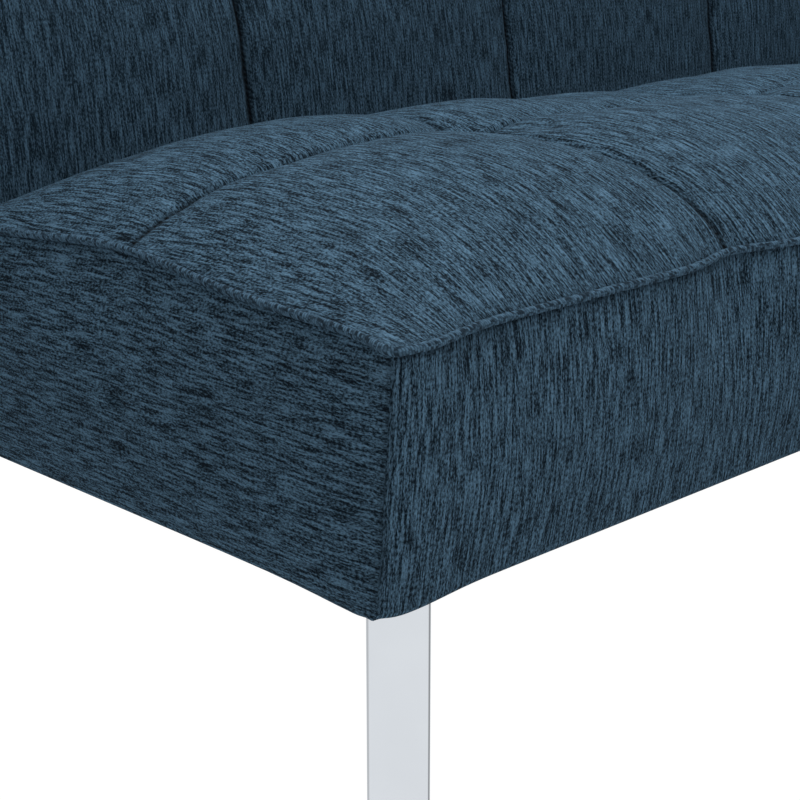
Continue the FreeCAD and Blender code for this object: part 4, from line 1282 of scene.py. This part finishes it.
@dataclass
class Welt:
    """A cord covered in the sofa's cloth, sewn along a path."""

    name: str
    path: np.ndarray
    radius: float
    closed: bool
    around: int = 12

    def build(self) -> bpy.types.Object:
        """Carries a circle along the path.

        At each point the circle lies across the path's direction, in the plane of two axes made by
        crossing that direction with the up axis.

        Returns:
            The mesh object.
        """
        path = self.evened()
        ahead, behind = np.roll(path, -1, axis=0), np.roll(path, 1, axis=0)
        if not self.closed:
            ahead[-1], behind[0] = path[-1], path[0]
        along = ahead - behind
        along /= np.linalg.norm(along, axis=1, keepdims=True)
        guide = np.array([0.31, 0.12, 0.94])
        side = np.cross(along, guide)
        side /= np.linalg.norm(side, axis=1, keepdims=True)
        up = np.cross(side, along)
        steps = np.concatenate([[0.0], np.cumsum(np.linalg.norm(np.diff(path, axis=0), axis=1))])
        swell = 1.0 + 0.05 * np.sin(steps * 700.0) + 0.04 * np.sin(steps * 260.0 + 1.0)
        angle = np.arange(self.around) * 2 * math.pi / self.around
        ring = side[:, None] * np.cos(angle)[None, :, None] + up[:, None] * np.sin(angle)[None, :, None]
        grid = path[:, None] + ring * (self.radius * swell)[:, None, None]
        return self.tube(grid, steps)

    def evened(self) -> np.ndarray:
        """The path at even steps of 3 mm.

        Returns:
            The new path.
        """
        path = np.concatenate([self.path, self.path[:1]]) if self.closed else self.path
        steps = np.concatenate([[0.0], np.cumsum(np.linalg.norm(np.diff(path, axis=0), axis=1))])
        keep = np.concatenate([[True], np.diff(steps) > 1e-7])
        count = int(steps[-1] / (3 * MM))
        at = np.linspace(0.0, steps[-1], count + 1)
        at = at[:-1] if self.closed else at
        even = np.stack([np.interp(at, steps[keep], path[keep, k]) for k in range(3)], axis=1)
        for _ in range(3):
            inner = (np.roll(even, 1, axis=0) + 2 * even + np.roll(even, -1, axis=0)) / 4
            if not self.closed:
                inner[0], inner[-1] = even[0], even[-1]
            even = inner
        return even

    def tube(self, grid: np.ndarray, steps: np.ndarray) -> bpy.types.Object:
        """Faces and the weave map of the tube, with flat ends if it is open.

        Args:
            grid: The points, ring by ring.
            steps: Length along the path at each ring.

        Returns:
            The mesh object.
        """
        rings, around = grid.shape[:2]
        index = np.arange(rings * around).reshape(rings, around)
        nxt = np.roll(index, -1, axis=1)
        rows = np.arange(rings) if self.closed else np.arange(rings - 1)
        after = (rows + 1) % rings
        quads = np.stack([index[rows], nxt[rows], nxt[after], index[after]], axis=-1).reshape(-1, 4)
        turn = np.arange(around + 1) * (2 * math.pi * self.radius / around)
        length = np.append(steps, steps[-1] + 3 * MM)
        corner = np.empty((len(rows), around, 4, 2))
        for place, (d_row, d_col) in enumerate(((0, 0), (0, 1), (1, 1), (1, 0))):
            corner[:, :, place, 0] = turn[np.arange(around) + d_col][None]
            corner[:, :, place, 1] = length[rows + d_row][:, None]
        faces, weave = [quads], [corner.reshape(-1, 2)]
        if not self.closed:
            for ring in (index[0][::-1], index[-1]):
                faces.append(ring[None])
                weave.append(np.zeros((around, 2)))
        return make_mesh(self.name, grid.reshape(-1, 3), faces, weave, {})


# ---------------------------------------------------------------- the sofa bed

@dataclass
class Upholstery:
    """Both stitched pads and their welts, placed from the frame."""

    welt_radius: float = 2.8 * MM
    welt_out: float = 0.75
    quick: bool = False
    cloth: Optional[bpy.types.Material] = None
    shaded_back_cloth: Optional[bpy.types.Material] = None
    welt_cloth: Optional[bpy.types.Material] = None

    def build(self) -> None:
        """Makes the seat and the back."""
        self.cloth = Chenille().make()
        # The back's cover is a shaded copy of the seat's cloth: painted shade dims its lighter yarns, its dark
        # yarns are lifted to a lower contrast, and its painted pucker and crease shade is weaker.
        self.shaded_back_cloth = Chenille(name="chenille_upright", dark=(0.0065, 0.0150, 0.0240), shade=0.64, pucker_shade=0.2,
                                   dashed=0.15).make()
        self.welt_cloth = WeltCloth().make()
        self.seat()
        self.back()

    def seat(self) -> None:
        """The seat's pad and its welt, all round the panel."""
        low, high = (np.array(v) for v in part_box("seat_cover"))
        size = high - low
        pad = SeatPad(name="seat_pad", width=size[0], depth=size[1], row_seam=253 * MM, edge=162 * MM,
                      rise=64 * MM, crown=8 * MM, front_reach=57 * MM, rear_reach=45 * MM, end_reach=75 * MM,
                      cross_dip=13 * MM, loft=5 * MM, seed=7, sag=20 * MM, rear_ease=25 * MM, corner=tuple(low))
        thing = pad.build(self.quick)
        self.dress(thing, self.cloth, "base", ("seat_foam", "seat_cover"), 0.8)
        front, rear, left, right = pad.edges(self.welt_radius * self.welt_out, 0.45)
        path = np.concatenate([front, right[1:-1], rear[::-1], left[1:-1][::-1]])
        self.sew(Welt("seat_piping", pad.place(path), self.welt_radius, True), "base", "seat_welt")

    def back(self) -> None:
        """The back's pad and its welt along both ends and the top."""
        joint = next(j for j in frame["record"]["behaviour"]["joints"] if j["name"] == "back_recline")
        low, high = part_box("back_cover")
        width = high[0] - low[0]
        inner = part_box("recliner_arm_right")[0][0] + width / 2 - 0.2 * MM
        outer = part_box("pivot_bolts")[1][0] + width / 2 + 5 * MM
        slots = ((width - outer, width - inner), (inner, outer))
        pad = BackPad(name="back_pad", width=width, depth=540 * MM, row_seam=303 * MM, edge=70 * MM,
                      rise=36 * MM, crown=6 * MM, front_reach=140 * MM, rear_reach=30 * MM, end_reach=34 * MM,
                      cross_dip=12 * MM, loft=6 * MM, seed=21, lean=math.radians(12),
                      pivot=tuple(joint["pos_m"]), slots=slots)
        thing = pad.build(self.quick)
        self.dress(thing, self.shaded_back_cloth, "back", ("back_foam", "back_cover"), 0.75)
        _, top, left, right = pad.edges(self.welt_radius * self.welt_out, 0.5)
        path = np.concatenate([left, top[1:-1], right[::-1]])
        self.sew(Welt("back_piping", pad.place(path), self.welt_radius, False), "back", "back_welt")

    def dress(self, thing: bpy.types.Object, cloth: bpy.types.Material, body: str, nodes: tuple[str, ...],
              fill: float) -> None:
        """Gives a pad its cloth and ties it to the frame.

        Args:
            thing: The pad.
            cloth: Its cover material.
            body: The body it moves with.
            nodes: The CAD nodes it stands for.
            fill: Share of the solid that the foam fills; not used.
        """
        thing.data.materials.append(cloth)
        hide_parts(*nodes)
        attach(thing, body)
        LOG.info("%s: %d faces", thing.name, len(thing.data.polygons))

    def sew(self, welt: Welt, body: str, node: str) -> None:
        """Makes a welt and ties it to the frame.

        Args:
            welt: The cord to make.
            body: The body it moves with.
            node: The CAD node it stands for.
        """
        thing = welt.build()
        thing.data.materials.append(self.welt_cloth)
        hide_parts(node)
        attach(thing, body)
        LOG.info("%s: %d faces", thing.name, len(thing.data.polygons))


@dataclass
class Carcass:
    """The pieces that come from the frame as they are, with better finishes."""

    rules: tuple[tuple[Callable[[str], bool], Finish], ...] = field(default_factory=lambda: (
        (lambda n: n.startswith(("leg_front", "leg_rear")), Finish.CHROME),
        (lambda n: n.startswith("glide") or n == "tube_caps", Finish.PLASTIC),
        (lambda n: n.startswith("buffer"), Finish.RUBBER),
        (lambda n: n == "seat_dust_cover", Finish.LINING),
        (lambda n: n.startswith(("side_rail", "rear_cross", "leg_plate")), Finish.BLACK_STEEL),
        (lambda n: "bolts" in n or "nuts" in n or n.startswith(("hinge", "recliner", "pawl")), Finish.ZINC),
        (lambda n: n.endswith("foam"), Finish.FOAM),
        (lambda n: "end_rail" in n or "bearer" in n or n == "seat_slats", Finish.TIMBER_DEEP),
        (lambda n: "stile" in n, Finish.TIMBER_TALL),
        (lambda n: True, Finish.TIMBER_LONG)))

    def dress(self) -> None:
        """Assigns each frame node the first finish whose rule takes its name."""
        made: dict[Finish, bpy.types.Material] = {}
        for name, thing in frame["nodes"].items():
            finish = next(found for takes, found in self.rules if takes(name))
            if finish not in made:
                made[finish] = finish.value.make()
            for place in range(len(thing.material_slots)):
                thing.material_slots[place].link = "OBJECT"
                thing.material_slots[place].material = made[finish]
            if not thing.material_slots:
                thing.data.materials.append(made[finish])
        LOG.info("frame nodes dressed: %d", len(frame["nodes"]))


@dataclass
class Studio:
    """Pale floor, soft lights and the camera at the seat's front left corner."""

    eye: Place = (-0.6447, -0.6748, 0.4208)
    yaw: float = 44.4
    pitch: float = 17.2
    lens: float = 79.47
    floor_size: float = 60.0
    ambient: float = 0.13
    right_dark: float = 0.62
    left_dark: float = 0.32

    def build(self) -> None:
        """Makes everything round the object."""
        self.floor()
        self.world()
        self.lights()
        self.camera()
        bpy.context.scene.view_settings.view_transform = "Standard"

    def floor(self) -> None:
        """A wide pale floor that shows nearly white and takes a faint shadow."""
        half = self.floor_size / 2
        mesh = bpy.data.meshes.new("floor")
        mesh.from_pydata([(-half, -half, 0), (half, -half, 0), (half, half, 0), (-half, half, 0)], [],
                         [(0, 1, 2, 3)])
        thing = bpy.data.objects.new("floor", mesh)
        bpy.context.scene.collection.objects.link(thing)
        shop = Workshop("pale_floor")
        glow = shop.node("ShaderNodeEmission", None, {"Color": (1, 1, 1, 1), "Strength": 1.08})
        matt = shop.node("ShaderNodeBsdfDiffuse", None, {"Color": (0.62, 0.62, 0.62, 1)})
        soft = shop.node("ShaderNodeLightPath", None, None, "Is Diffuse Ray")
        mixed = shop.node("ShaderNodeMixShader", None, {0: (1.0 - soft) * 0.93, 1: matt, 2: glow})
        shop.tree.links.new(mixed.socket, shop.output.inputs["Surface"])
        mesh.materials.append(shop.material)
        thing.visible_glossy = False

    def world(self) -> None:
        """White to the eye, softer as a light on cloth, and with two darker sides in reflections.

        The reflections are darkened by smooth steps of d . r, where d is the direction and r points to
        the camera's right: strongly on the right side, weakly on the left.
        """
        world = bpy.data.worlds.new("studio")
        bpy.context.scene.world = world
        shop = Workshop("studio", world)
        yaw = math.radians(self.yaw)
        towards = (math.cos(yaw), -math.sin(yaw), 0.0)
        right = shop.node("ShaderNodeVectorMath", {"operation": "DOT_PRODUCT"},
                          {0: shop.node("ShaderNodeTexCoord"), 1: towards}, "Value")
        sides = 1.0 - right.ease(0.6, 0.85) * self.right_dark - (-right).ease(0.5, 0.8) * self.left_dark
        glossy = shop.node("ShaderNodeLightPath", None, None, "Is Glossy Ray")
        diffuse = shop.node("ShaderNodeLightPath", None, None, "Is Diffuse Ray")
        strength = 1.0 - glossy * (1.0 - sides) - diffuse * (1.0 - self.ambient)
        back = shop.node("ShaderNodeBackground", None, {"Color": (1.0, 1.0, 1.0, 1.0), "Strength": strength})
        shop.tree.links.new(back.socket, shop.output.inputs["Surface"])

    def lights(self) -> None:
        """A large soft light above and in front to the right, and a weaker one from the left."""
        self.area("key", (0.3, -0.68, 3.0), (0.0, 0.0, 0.3), 2.2, 48.0)
        self.area("fill", (-2.8, -1.7, 1.6), (-0.4, 0.0, 0.3), 1.8, 14.0)
        self.area("rim", (0.2, 1.7, 2.8), (0.0, 0.2, 0.4), 2.0, 30.0)

    def area(self, name: str, place: Place, aim: Place, size: float, power: float) -> None:
        """One square area light turned towards its aim.

        Args:
            name: The light's name.
            place: Where it hangs.
            aim: The point it is turned to.
            size: Length of its side.
            power: Watts.
        """
        light = bpy.data.lights.new(name, "AREA")
        light.size = size
        light.energy = power
        thing = bpy.data.objects.new(name, light)
        thing.location = place
        thing.rotation_euler = (Vector(aim) - Vector(place)).to_track_quat("-Z", "Y").to_euler()
        bpy.context.scene.collection.objects.link(thing)

    def camera(self) -> None:
        """Looks past the seat's lower front left corner, turned and tilted by the yaw and pitch."""
        corner = Vector(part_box("seat_cover")[0])
        data = bpy.data.cameras.new("camera")
        data.lens = self.lens
        data.sensor_width = 36.0
        thing = bpy.data.objects.new("camera", data)
        bpy.context.scene.collection.objects.link(thing)
        yaw, pitch = math.radians(self.yaw), math.radians(self.pitch)
        look = Vector((math.sin(yaw) * math.cos(pitch), math.cos(yaw) * math.cos(pitch), -math.sin(pitch)))
        thing.location = corner + Vector(self.eye)
        thing.rotation_euler = look.to_track_quat("-Z", "Y").to_euler()
        bpy.context.scene.camera = thing


def main() -> None:
    """Builds the sofa bed's looks and the studio."""
    logging.basicConfig(level=logging.INFO, format="%(message)s")
    Upholstery(quick=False).build()
    Carcass().dress()
    Studio().build()


if __name__ == "__main__":
    main()
